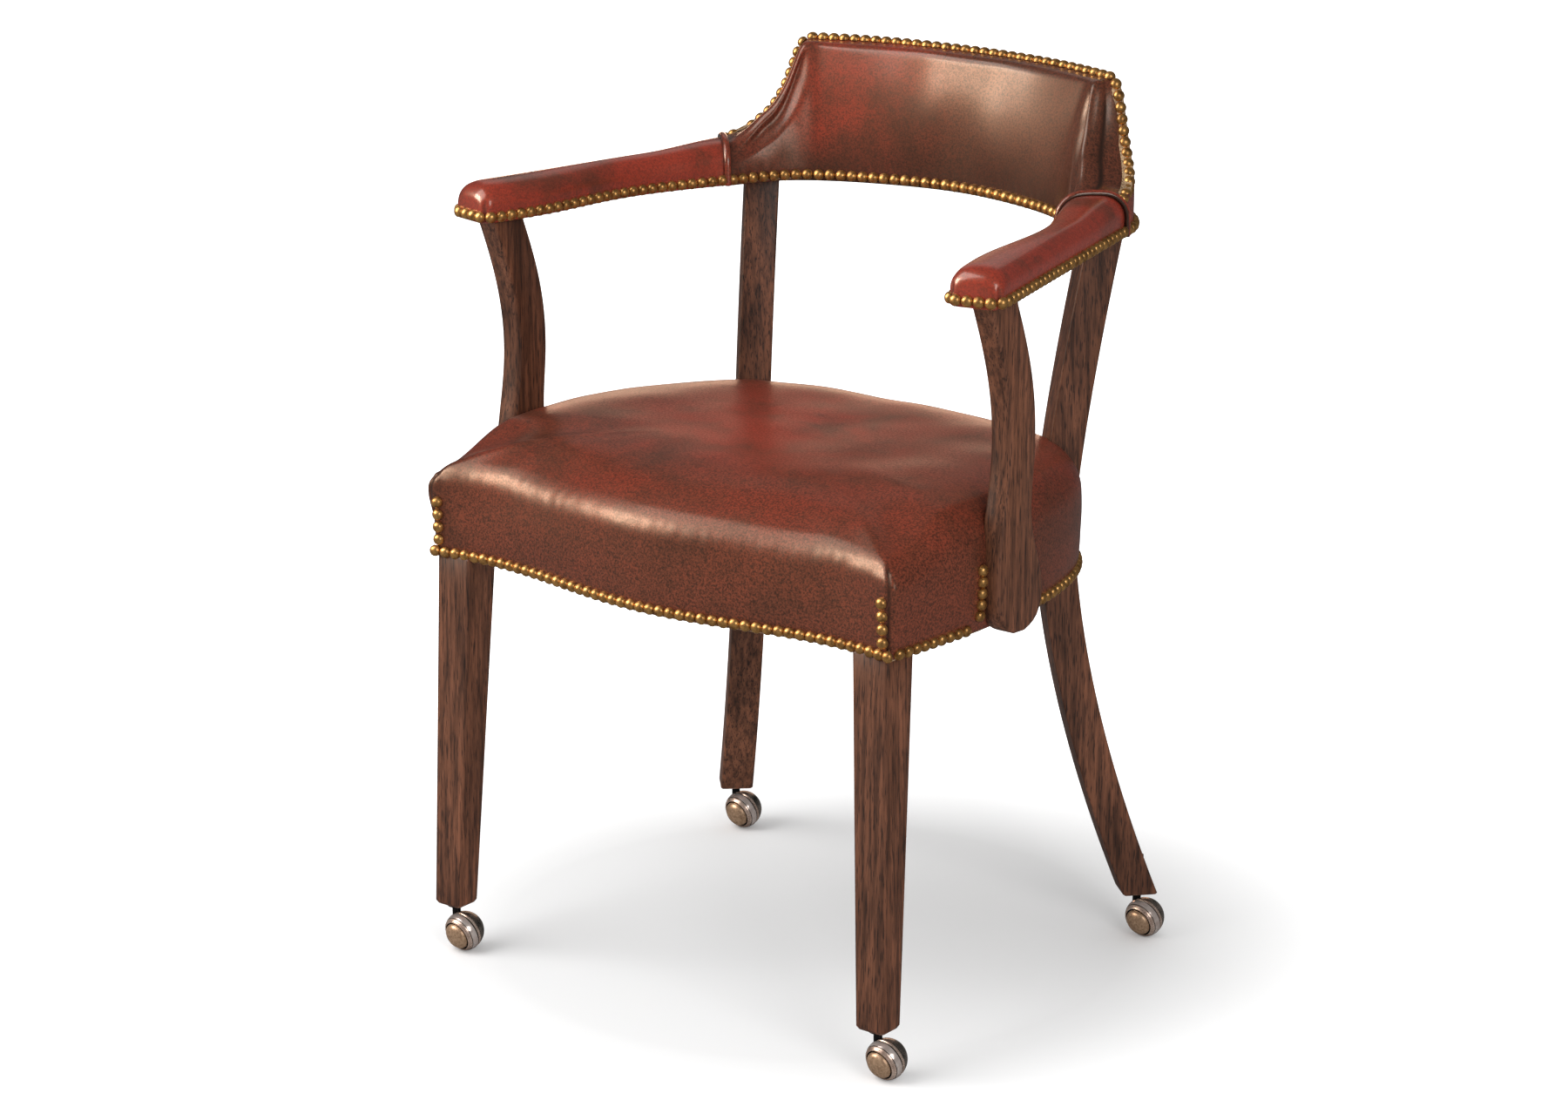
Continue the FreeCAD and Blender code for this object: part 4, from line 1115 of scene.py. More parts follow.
@dataclass
class YokeSection:
    """Cross section of the back or of an arm, in the plane across it."""

    width: float
    top_width: float
    height: float
    inner_round: float
    outer_round: float
    belly: float = 0.0
    roll: float = 0.0
    tilt: float = 0.0

    def path(self, inner_count: int, top_count: int, outer_count: int, arc: int) -> np.ndarray:
        """Path from the low inner edge over the top to the low outer edge.

        Args:
            inner_count: points on the inner face.
            top_count: points on the top.
            outer_count: points on the outer face.
            arc: points on each rounded edge.

        Returns:
            Distance across and height of each point.
        """
        lean = self.width - self.top_width
        corners = [(0.0, 0.0), (lean, self.height + 0.4 * self.tilt),
                   (self.width, self.rim), (self.width, 0.0)]
        path = filleted(corners, [self.inner_round, self.outer_round],
                        [inner_count, top_count, outer_count], arc)
        face = np.array([-self.height, lean]) / math.hypot(self.height, lean)
        for i in range(inner_count + 1):
            t = i / inner_count
            hollow = self.roll * 1.1 * bump(t, 0.92, 0.3)
            path[i] += face * (self.belly * math.sin(math.pi * t) - hollow)
        first = inner_count + arc - 1
        for i in range(first - arc + 2, first + top_count):
            t = (i - first + arc - 2) / (top_count + arc - 2.0)
            path[i] += np.array([0.0, 1.0]) * self.rolled(t)
        return path

    @property
    def rim(self) -> float:
        """Height of the outer edge of the top, which tilts outwards on the wings."""
        return self.height - 0.6 * self.tilt

    def rolled(self, t: float) -> float:
        """Rise of the roll and of the strip beside it at a share of the way across the top."""
        if t < FOLD_SHARE:
            return self.roll * math.sin(math.pi * t / FOLD_SHARE) ** 0.8
        return 0.6 * self.roll * math.sin(math.pi * (t - FOLD_SHARE) / (1.0 - FOLD_SHARE)) ** 0.8


@dataclass
class BackUpholstery:
    """Padded inside of the back and the leather outside it."""

    station_step: float = 4.2
    inner_points: int = 20
    top_points: int = 18
    arc_points: int = 6
    crest_round: float = 8.0
    belly: float = 2.5
    roll: float = 4.4
    tilt: float = 17.0
    yoke_foot: float = 19.0
    wood_back: float = 12.0
    pressure: float = 2.0
    swell_cap: float = 3.0

    def stations(self) -> list[tuple[float, float]]:
        """Ways along the outer line with their side, from the right seam round to the left."""
        wing = np.linspace(YOKE.seam_at, 0.0, int(YOKE.seam_at / self.station_step * 1.2))
        crest = np.linspace(0.0, -YOKE.crest_length, int(YOKE.crest_length / self.station_step))[1:]
        half = list(wing) + list(crest)
        return [(d, RIGHT) for d in half] + [(d, LEFT) for d in reversed(half[:-1])]

    def section(self, distance: float) -> YokeSection:
        """Cross section at a way along the outer line."""
        outer = YOKE.outer(distance)[0]
        inner = YOKE.inner(distance)
        near_seam = ramp(distance, 45.0, YOKE.seam_at)
        return YokeSection(
            width=float(np.linalg.norm(outer - inner)), top_width=YOKE.thickness(distance),
            height=LEVELS.crest - YOKE.drop(distance) - LEVELS.arm_bottom,
            inner_round=self.crest_round + 10.0 * near_seam, outer_round=2.0 + 16.0 * near_seam,
            belly=self.belly,
            roll=self.roll * ramp(distance, -2.0, 10.0) * ramp(-distance, -84.0, -50.0),
            tilt=self.tilt * ramp(distance, -4.0, 22.0) * ramp(-distance, -88.0, -62.0))

    def framed(self, distance: float, side: float, path: np.ndarray) -> list[Vector]:
        """Section points at a station as places in the shared frame."""
        inner, across = YOKE.inner(distance), YOKE.across(distance)
        spots = [(inner + across * r, LEVELS.arm_bottom + h) for r, h in path]
        return to_row([(spot[0] * side, spot[1], z) for spot, z in spots])

    def inside(self) -> bpy.types.Object:
        """Padding and leather of the inside and of the padded edge."""
        rings = []
        for distance, side in self.stations():
            section = self.section(distance)
            path = section.path(self.inner_points, self.top_points, 2, self.arc_points)[:-2]
            behind = self.behind(section)
            rings.append(self.framed(distance, side, np.vstack([path, behind])))
        piece = loft("back_inside_upholstery", rings, low="grid", high="grid")
        self.mark_fold(piece)
        free = range(3, len(path) - 4)
        swell(piece, lambda index, place: self.place_of(piece, index) not in free, self.pressure,
              self.swell_cap)
        finish_modifier(piece, "SUBSURF", levels=1, render_levels=1)
        sculpt(piece, self.relief)
        # Painted shade in each wing's fold, towards the low edge, towards the right and at the cuffs.
        set_stain(piece, "painted_shade", self.fold, "painted_fold_shade")
        # Painted light: redder at the upper left of the inside.
        set_stain(piece, "painted_light", self.painted_red_light)
        set_stain(piece, "polish", lambda place, normal: 0.7 * ramp(abs(normal.z), 0.1, 0.6))
        shade(piece)
        return piece

    def behind(self, section: YokeSection) -> list[tuple[float, float]]:
        """Rear of the padding's section, from the rim down the panel and under to the low inner edge."""
        wide, tall, foot = section.width, section.rim, self.yoke_foot
        wood = wide - self.wood_back
        inner_at_foot = (wide - section.top_width) * foot / section.height
        return [(wide - 2.0, tall - 6.0), (wood, tall - 8.0), (wood, (tall + foot) / 2.0), (wood, foot),
                (inner_at_foot + 2.0, foot), (2.0, 0.0)]

    def mark_fold(self, piece: bpy.types.Object) -> None:
        """Paint shade into the fold between the roll of a wing and the strip beside it."""
        fold_at = self.inner_points + 1 + round(FOLD_SHARE * (self.top_points + self.arc_points - 2))
        marks = piece.data.attributes.new("painted_fold_shade", "FLOAT", "POINT")
        values = []
        for vert in piece.data.vertices:
            z = vert.co.z / MM
            depth = {0: 0.95, 1: 0.45}.get(abs(self.place_of(piece, vert.index) - fold_at), 0.0)
            fading = ramp(-z, -803.0, -796.0)
            values.append(depth * fading * ramp(z, LEVELS.arm_bottom, LEVELS.arm_bottom + 4.0))
        marks.data.foreach_set("value", values)

    @staticmethod
    def place_of(piece: bpy.types.Object, index: int) -> int:
        """Place of a point in its ring, as the loft stored it."""
        return piece.data.attributes["place"].data[index].value

    def fold(self, place: Place, normal: Vector) -> float:
        """Painted shade: how dark a point is made, towards the low edge, towards the right and in the gaps at
        the cuffs.
        """
        low = 0.5 * ramp(-place[2], -LEVELS.arm_bottom - 66.0, -LEVELS.arm_bottom)
        # Painted shade towards the right of the inside.
        right_side_shade = 0.22 * ramp(place[0], -110.0, 60.0)
        return low + right_side_shade + 0.95 * bump(from_seam(place), 0.0, 6.5)

    def painted_red_light(self, place: Place, normal: Vector) -> float:
        """Painted light: how red a point is made, most at the upper left of the inside."""
        x, _, z = place
        return 0.03 + 0.62 * bump(math.hypot(x + 120.0, z - 785.0), 0.0, 150.0)

    def relief(self, place: Place, normal: Vector) -> float:
        """Millimetres by which nails and the hide's slack move it."""
        x, y, z = place
        waves = math.cos(2.0 * math.pi * (x if abs(x) < 170.0 else y) / NAIL_PITCH)
        low = bump(z, LEVELS.arm_bottom + NAIL_RISE + 7.0, 9.0) * waves * 0.1
        press = 0.8 * bump(z, LEVELS.arm_bottom + NAIL_RISE, 5.0)
        drift = noise.noise(Vector((x, y, z)) * 0.02) * 0.15 * bump(z, 765.0, 60.0)
        return low - press + drift

    def outside(self) -> bpy.types.Object:
        """Leather over the outside of the back."""
        rings = []
        for distance, side in self.stations():
            section = self.section(distance)
            rise = np.linspace(0.0, section.rim - 1.0, 14)
            shell = [(section.width, h) for h in rise] + [(section.width - 1.4, h) for h in rise[::-1]]
            rings.append(self.framed(distance, side, np.array(shell)))
        piece = loft("back_outside_leather_sheet", rings)
        sculpt(piece, self.outside_relief)
        # Painted light: the outside gets an even, smaller share of the red light.
        set_stain(piece, "painted_light", lambda place, normal: 0.35)
        shade(piece, Smooth.BY_ANGLE)
        return piece

    def outside_relief(self, place: Place, normal: Vector) -> float:
        """Millimetres by which the nails draw the outside leather in and out."""
        x, _, z = place
        return bump(z, LEVELS.arm_bottom + 13.0, 9.0) * math.cos(2.0 * math.pi * x / NAIL_PITCH) * 0.25


@dataclass
class ArmUpholstery:
    """One padded arm from its rounded nose to the seam at the back."""

    side: float
    nose_round: float = 10.0
    nose_slope: float = 20.0
    nose_drop: float = 14.0
    side_points: int = 9
    top_points: int = 12
    arc_points: int = 8
    body_step: float = 5.0
    lean: float = 5.0
    dome: float = 2.2
    pleat_depth: float = 1.2
    pressure: float = 2.0
    swell_cap: float = 1.5
    cuff_half: float = 3.6
    cuff_lift: float = 4.4
    inner_line: Curve = field(default_factory=lambda: Curve([
        YOKE.nose, (YOKE.nose[0] - YOKE.bow_x, YOKE.nose[1] + YOKE.bow_nose), YOKE.waist,
        (YOKE.seam[0] + YOKE.bow_x, YOKE.seam[1] - YOKE.bow_seam), YOKE.seam]))

    def edge(self, share: float) -> tuple[np.ndarray, np.ndarray]:
        """Inner and outer plan point at a share of the way from nose to seam."""
        distance = YOKE.arm_length + (YOKE.seam_at - YOKE.arm_length) * share
        return self.inner_line.at_knot(self.inner_line.knots[-1] * share), YOKE.outer(distance)[0]

    @property
    def length(self) -> float:
        """Length of the arm along its outer side."""
        return YOKE.arm_length - YOKE.seam_at

    def shares(self) -> list[float]:
        """Shares at which the arm is cut into sections, close together round its nose."""
        nose = [self.nose_round * (1.0 - math.cos(math.pi / 2.0 * i / 7.0)) / self.length
                for i in range(7)]
        body = np.linspace(self.nose_round / self.length, 1.0, int(self.length / self.body_step))
        return nose + list(body)

    def section(self, share: float) -> tuple[YokeSection, float]:
        """Cross section at a share of the way, and how far its sides draw in."""
        inner, outer = self.edge(share)
        width = float(np.linalg.norm(outer - inner))
        tip = min(1.0, share * self.length / self.nose_round)
        pull = self.nose_round * (1.0 - math.sqrt(max(0.0, 1.0 - (1.0 - tip) ** 2))) * 0.9
        slope = min(1.0, share * self.length / self.nose_slope)
        sunk = self.nose_drop * (1.0 - math.sqrt(max(0.0, 1.0 - (1.0 - slope) ** 2)))
        seam_rise = (LEVELS.crest - YOKE.drop(YOKE.seam_at) - LEVELS.arm_top) * ramp(share, 0.7, 1.0)
        height = LEVELS.arm_top - LEVELS.arm_bottom + seam_rise - sunk
        lean = self.lean * ramp(share, 0.82, 1.0)
        rounding = min(19.0, (width - 2.0 * pull) * 0.42, height * 0.85)
        return YokeSection(width - 2.0 * pull, width - 2.0 * pull - lean, height, rounding, rounding), pull

    def path(self, section: YokeSection) -> list[tuple[float, float]]:
        """Section path with the padding's dome over its top."""
        middle, tall = section.width / 2.0, section.height
        plain = section.path(self.side_points, self.top_points, self.side_points, self.arc_points)
        return [(r, h + self.dome * bump(r, middle, middle) * ramp(h, tall * 0.4, tall)) for r, h in plain]

    def ring(self, share: float) -> list[Vector]:
        """Closed section as places in the shared frame."""
        inner, outer = self.edge(share)
        across = unit(outer - inner)
        section, pull = self.section(share)
        under = [(section.width * t, 0.0) for t in (0.86, 0.7, 0.5, 0.3, 0.14)]
        place = [(inner + across * (pull + r), h) for r, h in self.path(section) + under]
        return to_row([(p[0] * self.side, p[1], LEVELS.arm_bottom + h) for p, h in place])

    def build(self, name: str) -> bpy.types.Object:
        """The padded arm."""
        piece = loft(name, [self.ring(share) for share in self.shares()], low="grid", high="grid")
        nailed = (LEVELS.arm_bottom + 8.0) * MM
        swell(piece, lambda index, place: place.z < nailed, self.pressure, self.swell_cap)
        finish_modifier(piece, "SUBSURF", levels=1, render_levels=1)
        sculpt(piece, self.relief)
        # Painted shade in the nose pleats and under the cuff.
        set_stain(piece, "painted_shade", self.shade_of)
        # Painted light: the arms get the full share of red light.
        set_stain(piece, "painted_light", lambda place, normal: 1.0)
        set_stain(piece, "polish", lambda place, normal: 1.0)
        shade(piece)
        return piece

    def pleat(self, place: Place) -> float:
        """How near a point is to the pleats at the two front corners of the nose."""
        x, y, z = place
        inner, outer = self.edge(0.0)
        corners = ((inner, 2.5), (outer, -2.5))
        near = max(bump(math.hypot(abs(x) - corner[0] - inwards, y - corner[1] - 2.5), 0.0, 3.4)
                   for corner, inwards in corners)
        return near * ramp(-z, -712.0, -706.0)

    def shade_of(self, place: Place, normal: Vector) -> float:
        """Painted shade: how dark a point is made in a pleat or under the cuff."""
        return 0.8 * self.pleat(place) + 0.95 * bump(from_seam(place), 0.0, 6.5)

    def relief(self, place: Place, normal: Vector) -> float:
        """Millimetres by which nails and pleats move the hide."""
        _, y, z = place
        low = bump(z, LEVELS.arm_bottom + 13.0, 8.0) * math.cos(2.0 * math.pi * y / NAIL_PITCH) * 0.08
        press = 0.7 * bump(z, LEVELS.arm_bottom + NAIL_RISE, 5.0) * (1.0 - max(0.0, -normal.z))
        return low - press - self.pleat_depth * self.pleat(place)

    def cuff(self, name: str) -> bpy.types.Object:
        """Folded strip that covers the seam between arm and back."""
        half, lift = self.cuff_half, self.cuff_lift
        inner, outer = self.edge(1.0)
        across = unit(outer - inner)
        along = np.array([-across[1], across[0]])
        path = np.array(self.path(self.section(1.0)[0]))
        profile = [(-half, -1.0), (-half * 1.02, lift * 0.45), (-half * 0.8, lift * 0.9), (0.0, lift * 1.15),
                   (half * 0.8, lift * 0.9), (half * 1.02, lift * 0.45), (half, -1.0)]
        rings = []
        for i, (r, h) in enumerate(path):
            ahead = path[min(i + 1, len(path) - 1)] - path[max(i - 1, 0)]
            out = np.array([-ahead[1], ahead[0]]) / np.linalg.norm(ahead)
            spots = [inner + across * (r + out[0] * up) + along * way for way, up in profile]
            rings.append(to_row([(spot[0] * self.side, spot[1], LEVELS.arm_bottom + h + out[1] * up)
                                 for spot, (_, up) in zip(spots, profile)]))
        piece = loft(name, rings)
        # Painted shade along the cuff's two edges, where it meets the leather.
        edges = piece.data.attributes.new("painted_shade", "FLOAT", "POINT")
        outermost = {0, 1, len(profile) - 2, len(profile) - 1}
        edges.data.foreach_set("value", [float(point.value in outermost)
                                         for point in piece.data.attributes["place"].data])
        finish_modifier(piece, "SUBSURF", levels=1, render_levels=1)
        # Painted light: the cuffs get part of the red light.
        set_stain(piece, "painted_light", lambda place, normal: 0.6)
        set_stain(piece, "polish", lambda place, normal: 1.0)
        shade(piece)
        return piece


# Nails


@dataclass
class NailRow:
    """Nails set along a line onto the leather."""

    line: Sequence[Sequence[float]]
    outward: NailRule
    pitch: float = NAIL_PITCH
    start: float = 0.5

    def spots(self) -> list[tuple[Vector, Vector]]:
        """Aimed places and outward directions in the shared frame."""
        points = Curve(self.line).even(600) if len(self.line) > 2 else np.linspace(*self.line, 600)
        runs = np.linalg.norm(np.diff(points, axis=0), axis=1)
        travelled = np.concatenate([[0.0], np.cumsum(runs)])
        count = max(1, round(travelled[-1] / self.pitch - 2.0 * self.start + 1.0))
        step = travelled[-1] / (count - 1.0 + 2.0 * self.start)
        found = []
        for i in range(count):
            way = step * (i + self.start)
            behind, here, ahead = (np.array([np.interp(at, travelled, column) for column in points.T])
                                   for at in (way - 1.0, way, way + 1.0))
            out = Vector(self.outward(here, ahead - behind)).normalized()
            found.append((to_row([here])[0], out))
        return found


def beside(hand: float) -> NailRule:
    """Rule that faces nails level to the right of their line, or to its left where hand is below zero."""
    return lambda here, way: (way[1] * hand, -way[0] * hand, 0.0)


class NailSetter:
    """Drives domed nails into the leather where their rows meet it."""

    radius: float = 5.5
    height: float = 4.3
    skirt: float = 1.2
    proud: float = 0.8

    def __init__(self) -> None:
        """Model one nail head."""
        deselect()
        bpy.ops.mesh.primitive_uv_sphere_add(segments=12, ring_count=8, radius=self.radius * MM)
        self.head = added("nail_pattern")
        bpy.ops.object.mode_set(mode="EDIT")
        bpy.ops.mesh.select_all(action="SELECT")
        bpy.ops.mesh.bisect(plane_co=(0, 0, 0), plane_no=(0, 0, 1), clear_inner=True)
        bpy.ops.mesh.select_all(action="SELECT")
        bpy.ops.transform.resize(value=(1.0, 1.0, self.height / self.radius))
        bpy.ops.mesh.select_all(action="DESELECT")
        bpy.ops.mesh.select_mode(type="EDGE")
        bpy.ops.mesh.select_non_manifold()
        bpy.ops.mesh.extrude_region_move(TRANSFORM_OT_translate={"value": (0, 0, -self.skirt * MM)})
        bpy.ops.mesh.edge_face_add()
        bpy.ops.object.mode_set(mode="OBJECT")
        shade(self.head, Smooth.BY_ANGLE, 50.0)

    def drive(self, name: str, rows: Iterable[NailRow],
              hides: Sequence[bpy.types.Object]) -> bpy.types.Object:
        """Set every nail of some rows and join them into one piece.

        Args:
            name: the piece's name.
            rows: the rows to set.
            hides: the leather that the nails go into.

        Returns:
            All the heads as one piece.
        """
        graph = bpy.context.evaluated_depsgraph_get()
        surfaces = [BVHTree.FromObject(hide, graph) for hide in hides]
        joined = bmesh.new()
        for row in rows:
            for spot, out in row.spots():
                place, facing = self.seated(spot, out, surfaces)
                turn = Vector((0, 0, 1)).rotation_difference(facing).to_matrix().to_4x4()
                copy = self.head.data.copy()
                copy.transform(Matrix.Translation(place) @ turn)
                joined.from_mesh(copy)
                bpy.data.meshes.remove(copy)
        mesh = bpy.data.meshes.new(name)
        joined.to_mesh(mesh)
        joined.free()
        piece = bpy.data.objects.new(name, mesh)
        bpy.context.scene.collection.objects.link(piece)
        shade(piece, Smooth.BY_ANGLE, 50.0)
        return piece

    def seated(self, spot: Vector, out: Vector, surfaces: Sequence[BVHTree]) -> tuple[Vector, Vector]:
        """Where a nail aimed at the leather lands, and which way it faces."""
        best = None
        for surface in surfaces:
            hit, normal, _, distance = surface.ray_cast(spot + out * 0.012, -out, 0.03)
            if hit is not None and (best is None or distance < best[2]):
                best = (hit, normal, distance)
        if best is None:
            return spot, out
        normal = best[1] if best[1].dot(out) > 0.0 else -best[1]
        return best[0] + normal * (self.proud * MM), (normal * 0.7 + out * 0.3).normalized()

    def put_away(self) -> None:
        """Remove the pattern once every nail is set."""
        bpy.data.objects.remove(self.head)


@dataclass
class NailPlan:
    """Rows of nails of the whole chair."""

    head_radius: float = 5.3
    corner_count: int = 4
    corner_pitch: float = 12.0
    foot_y: float = -41.0
    foot_half: float = 34.0
    rim_inset: float = 5.4
    every: int = 6

    def seat(self) -> list[NailRow]:
        """Seat edge, front corners and the columns beside the arm supports."""
        z = LEVELS.rail_bottom + NAIL_RISE
        gap = self.foot_half + self.head_radius - 1.0
        front = [(x, y, z) for x, y in SEAT.front_line().even(40)]
        rows = [NailRow(front, beside(RIGHT), start=0.05)]
        for side in SIDES.values():
            edge = SEAT.side(side).even(200)
            before = [(x, y, z) for x, y in edge if y < self.foot_y - gap]
            after = [(x, y, z) for x, y in edge if y > self.foot_y + gap]
            rows.append(NailRow(before[4::self.every], beside(side), start=0.45))
            rows.append(NailRow(after[:-16:self.every], beside(side), start=0.4))
            rows += self.columns(side, z)
        reach = SEAT.leg_pass[0] - 20.0
        rear = [(x, y, z) for x, y in SEAT.rear_line().even(200) if abs(x) < reach]
        rows.append(NailRow(rear[::self.every], beside(RIGHT), start=0.3))
        return rows

    def columns(self, side: float, z: float) -> list[NailRow]:
        """Upright rows on a front corner and in front of an arm support."""
        corner = (SEAT.corner_x - self.head_radius - 0.5) * side
        top = z + self.corner_pitch * self.corner_count
        front = [(corner, SEAT.front(corner), z + self.corner_pitch * 0.5),
                 (corner, SEAT.front(corner), top + 6.0)]
        edge_y = self.foot_y - self.foot_half - self.head_radius
        edge_x = (SEAT.side_x - 0.5) * side
        edge = [(edge_x, edge_y, z + 6.0), (edge_x, edge_y, top + 10.0)]
        return [NailRow(front, lambda here, way: (0.0, -1.0, 0.0), pitch=self.corner_pitch),
                NailRow(edge, lambda here, way: (side, 0.0, 0.0))]

    def arm(self, arm: ArmUpholstery) -> list[NailRow]:
        """Row round the lower edge of an arm, round its nose."""
        z = LEVELS.arm_bottom + NAIL_RISE
        inner_line, outer_line = [], []
        for share in arm.shares():
            inner, outer = arm.edge(share)
            drawn_in = unit(outer - inner) * arm.section(share)[1]
            inner_line.append(inner + drawn_in)
            outer_line.append(outer - drawn_in)
        points = [(x * arm.side, y, z) for x, y in inner_line[::-1] + outer_line]
        return [NailRow(points, beside(arm.side))]

    def back(self, back: BackUpholstery) -> list[NailRow]:
        """Rows under the inside, along the crest, down the wings and under the outside."""
        inner, outer, top = [], [], []
        for distance, side in back.stations():
            section = back.section(distance)
            spots = np.array([[0.0, NAIL_RISE], [section.width, NAIL_RISE],
                              [section.width - self.rim_inset, section.rim + 0.1 * section.tilt]])
            for line, place in zip((inner, outer, top), back.framed(distance, side, spots)):
                line.append(to_plan(place))
        return [NailRow(inner[::2], beside(LEFT)), NailRow(outer[::2], beside(RIGHT)),
                NailRow(top, self.rim_direction)]

    @staticmethod
    def rim_direction(here: np.ndarray, way: np.ndarray) -> Sequence[float]:
        """Direction square to the padded edge: up on the crest, forward and up on the wings."""
        up = np.cross(way, np.array([-way[1], way[0], 0.0]))
        return tuple(up if up[2] > 0 else -up)


# Legs and supports


@dataclass
class FrontLeg:
    """Square tapered front leg with softened edges."""

    side: float
    top: float = 39.0
    bottom_x: float = 30.5
    bottom_y: float = 27.5
    splay: float = 5.0
    rake: float = 10.5
    round: float = 3.2
    foot: float = 4.5

    def build(self, name: str) -> bpy.types.Object:
        """The leg from its chamfered foot into the seat frame."""
        rings = []
        low, high = LEVELS.leg_bottom, LEVELS.rail_bottom
        rise = high + LEATHER_THICKNESS - low - self.foot
        stops = [(low, self.foot), (low + self.foot * 0.35, self.foot * 0.35)]
        stops += [(low + self.foot + rise * i / 8.0, 0.0) for i in range(9)]
        stops += [(high + 5.0, 2.4), (high + 12.0, 7.0)]
        for z, inset in stops:
            t = max(0.0, (high - z) / (high - low))
            x1 = SEAT.corner_x - LEATHER_THICKNESS + self.splay * t - inset
            y0 = SEAT.front(SEAT.corner_x) + LEATHER_THICKNESS - self.rake * t + inset
            wide = self.top + (self.bottom_x - self.top) * t - 2.0 * inset
            deep = self.top + (self.bottom_y - self.top) * t - 2.0 * inset
            corners = [(x1 - wide, y0), (x1, y0), (x1, y0 + deep), (x1 - wide, y0 + deep)]
            rings.append(to_row([(x * self.side, y, z) for x, y in rounded_square(corners, self.round)]))
        piece = loft(name, rings)
        shade(piece, Smooth.BY_ANGLE, 35.0)
        return piece


@dataclass
class RearLeg:
    """Sabre rear leg, turned to face its corner, one piece from floor to arm."""

    side: float
    width: float = 32.5
    depth: float = 33.6
    turn: float = 42.0
    waist: tuple[float, float, float] = (179.0, 177.0, 420.0)
    foot_out: tuple[float, float] = (65.8, 56.8)
    foot_sweep: float = 1.7
    head_out: tuple[float, float] = (19.5, 42.0)
    head_sweep: float = 1.3
    round: float = 2.2
    grow: float = 0.0

    def centre(self, z: float) -> tuple[float, float]:
        """Centre of the leg at a height."""
        x, y, waist_z = self.waist
        if z <= waist_z:
            t = ((waist_z - z) / (waist_z - LEVELS.leg_bottom)) ** self.foot_sweep
            return x + self.foot_out[0] * t, y + self.foot_out[1] * t
        t = ((z - waist_z) / (LEVELS.arm_bottom - waist_z)) ** self.head_sweep
        return x + self.head_out[0] * t, y + self.head_out[1] * t

    def build(self, name: str) -> bpy.types.Object:
        """The leg."""
        angle = math.radians(self.turn)
        across = np.array([math.cos(angle), -math.sin(angle)])
        along = np.array([math.sin(angle), math.cos(angle)])
        rings = []
        heights = [LEVELS.leg_bottom, LEVELS.leg_bottom + 1.5]
        heights += list(np.linspace(LEVELS.leg_bottom + 10.0, LEVELS.arm_bottom - 0.5, 44))
        for z in heights:
            inset = 1.2 if z == LEVELS.leg_bottom and not self.grow else 0.0
            half_w = self.width / 2.0 - inset + self.grow
            half_d = self.depth / 2.0 - inset + self.grow
            centre = np.array(self.centre(z))
            corners = [centre + across * half_w * right + along * half_d * behind
                       for right, behind in ((-1.0, -1.0), (1.0, -1.0), (1.0, 1.0), (-1.0, 1.0))]
            rings.append(to_row([(x * self.side, y, z) for x, y in rounded_square(corners, self.round)]))
        piece = loft(name, rings)
        shade(piece, Smooth.BY_ANGLE, 35.0)
        return piece


def rounded_square(corners: Sequence[Sequence[float]], radius: float) -> list[np.ndarray]:
    """Four-cornered ring with each corner turned by an arc of five points."""
    pts = [np.array(c, float) for c in corners]
    ring = []
    for i, corner in enumerate(pts):
        a, b = unit(pts[i - 1] - corner), unit(pts[(i + 1) % 4] - corner)
        for angle in (math.pi / 2.0 * k / 4.0 for k in range(5)):
            ring.append(corner + (a + b) * radius - a * radius * math.sin(angle)
                        - b * radius * math.cos(angle))
    return ring


@dataclass
class ArmSupport:
    """Curved board bolted to the side of the seat that carries the front of an arm."""

    side: float
    inner_x: float = 270.0
    thickness: float = 22.5
    bottom: float = 381.0
    waist: tuple[float, float] = (-41.0, 548.0)
    width: float = 39.5
    head_y: float = -73.0
    foot_width: float = 68.0
    foot: tuple[float, float] = (-41.0, 415.0)
    round: float = 3.2

    def edges(self) -> tuple[Curve, Curve]:
        """Front and back edge of the board, from its head to its foot."""
        foot_half, half = self.foot_width / 2.0, self.width / 2.0
        neck = (self.waist[1] + LEVELS.arm_bottom) / 2.0
        middle = (self.foot[1] + self.waist[1]) / 2.0
        front = Curve([(self.head_y - half - 1.5, LEVELS.arm_bottom), (self.waist[0] - half - 8.0, neck),
                       (self.waist[0] - half, self.waist[1]), (self.foot[0] - foot_half + 4.0, middle),
                       (self.foot[0] - foot_half, self.foot[1] + 12.0),
                       (self.foot[0] - foot_half * 0.72, self.bottom + 13.0), (self.foot[0], self.bottom)])
        back = Curve([(self.head_y + half, LEVELS.arm_bottom), (self.waist[0] + half - 7.0, neck),
                      (self.waist[0] + half, self.waist[1]), (self.waist[0] + half - 1.5, middle - 8.0),
                      (self.foot[0] + foot_half, self.foot[1]),
                      (self.foot[0] + foot_half * 0.80, self.bottom + 12.0), (self.foot[0], self.bottom)])
        return front, back

    def build(self, name: str) -> bpy.types.Object:
        """The board with its edges rounded."""
        front, back = (curve.even(46) for curve in self.edges())
        outline = np.vstack([front[-2::-1], back[:-1]])
        steps = [(0.0, 1.0), (0.35, 0.35), (1.0, 0.0)]
        outer_x = self.inner_x + self.thickness
        walls = [(self.inner_x + t * self.round, self.round * inset) for t, inset in steps]
        walls += [(outer_x - t * self.round, self.round * inset) for t, inset in steps[::-1]]
        rings = [to_row([(x * self.side, y, min(z, LEVELS.arm_bottom - 0.3))
                         for y, z in inward(outline, inset)]) for x, inset in walls]
        piece = loft(name, rings)
        shade(piece, Smooth.BY_ANGLE, 50.0)
        return piece


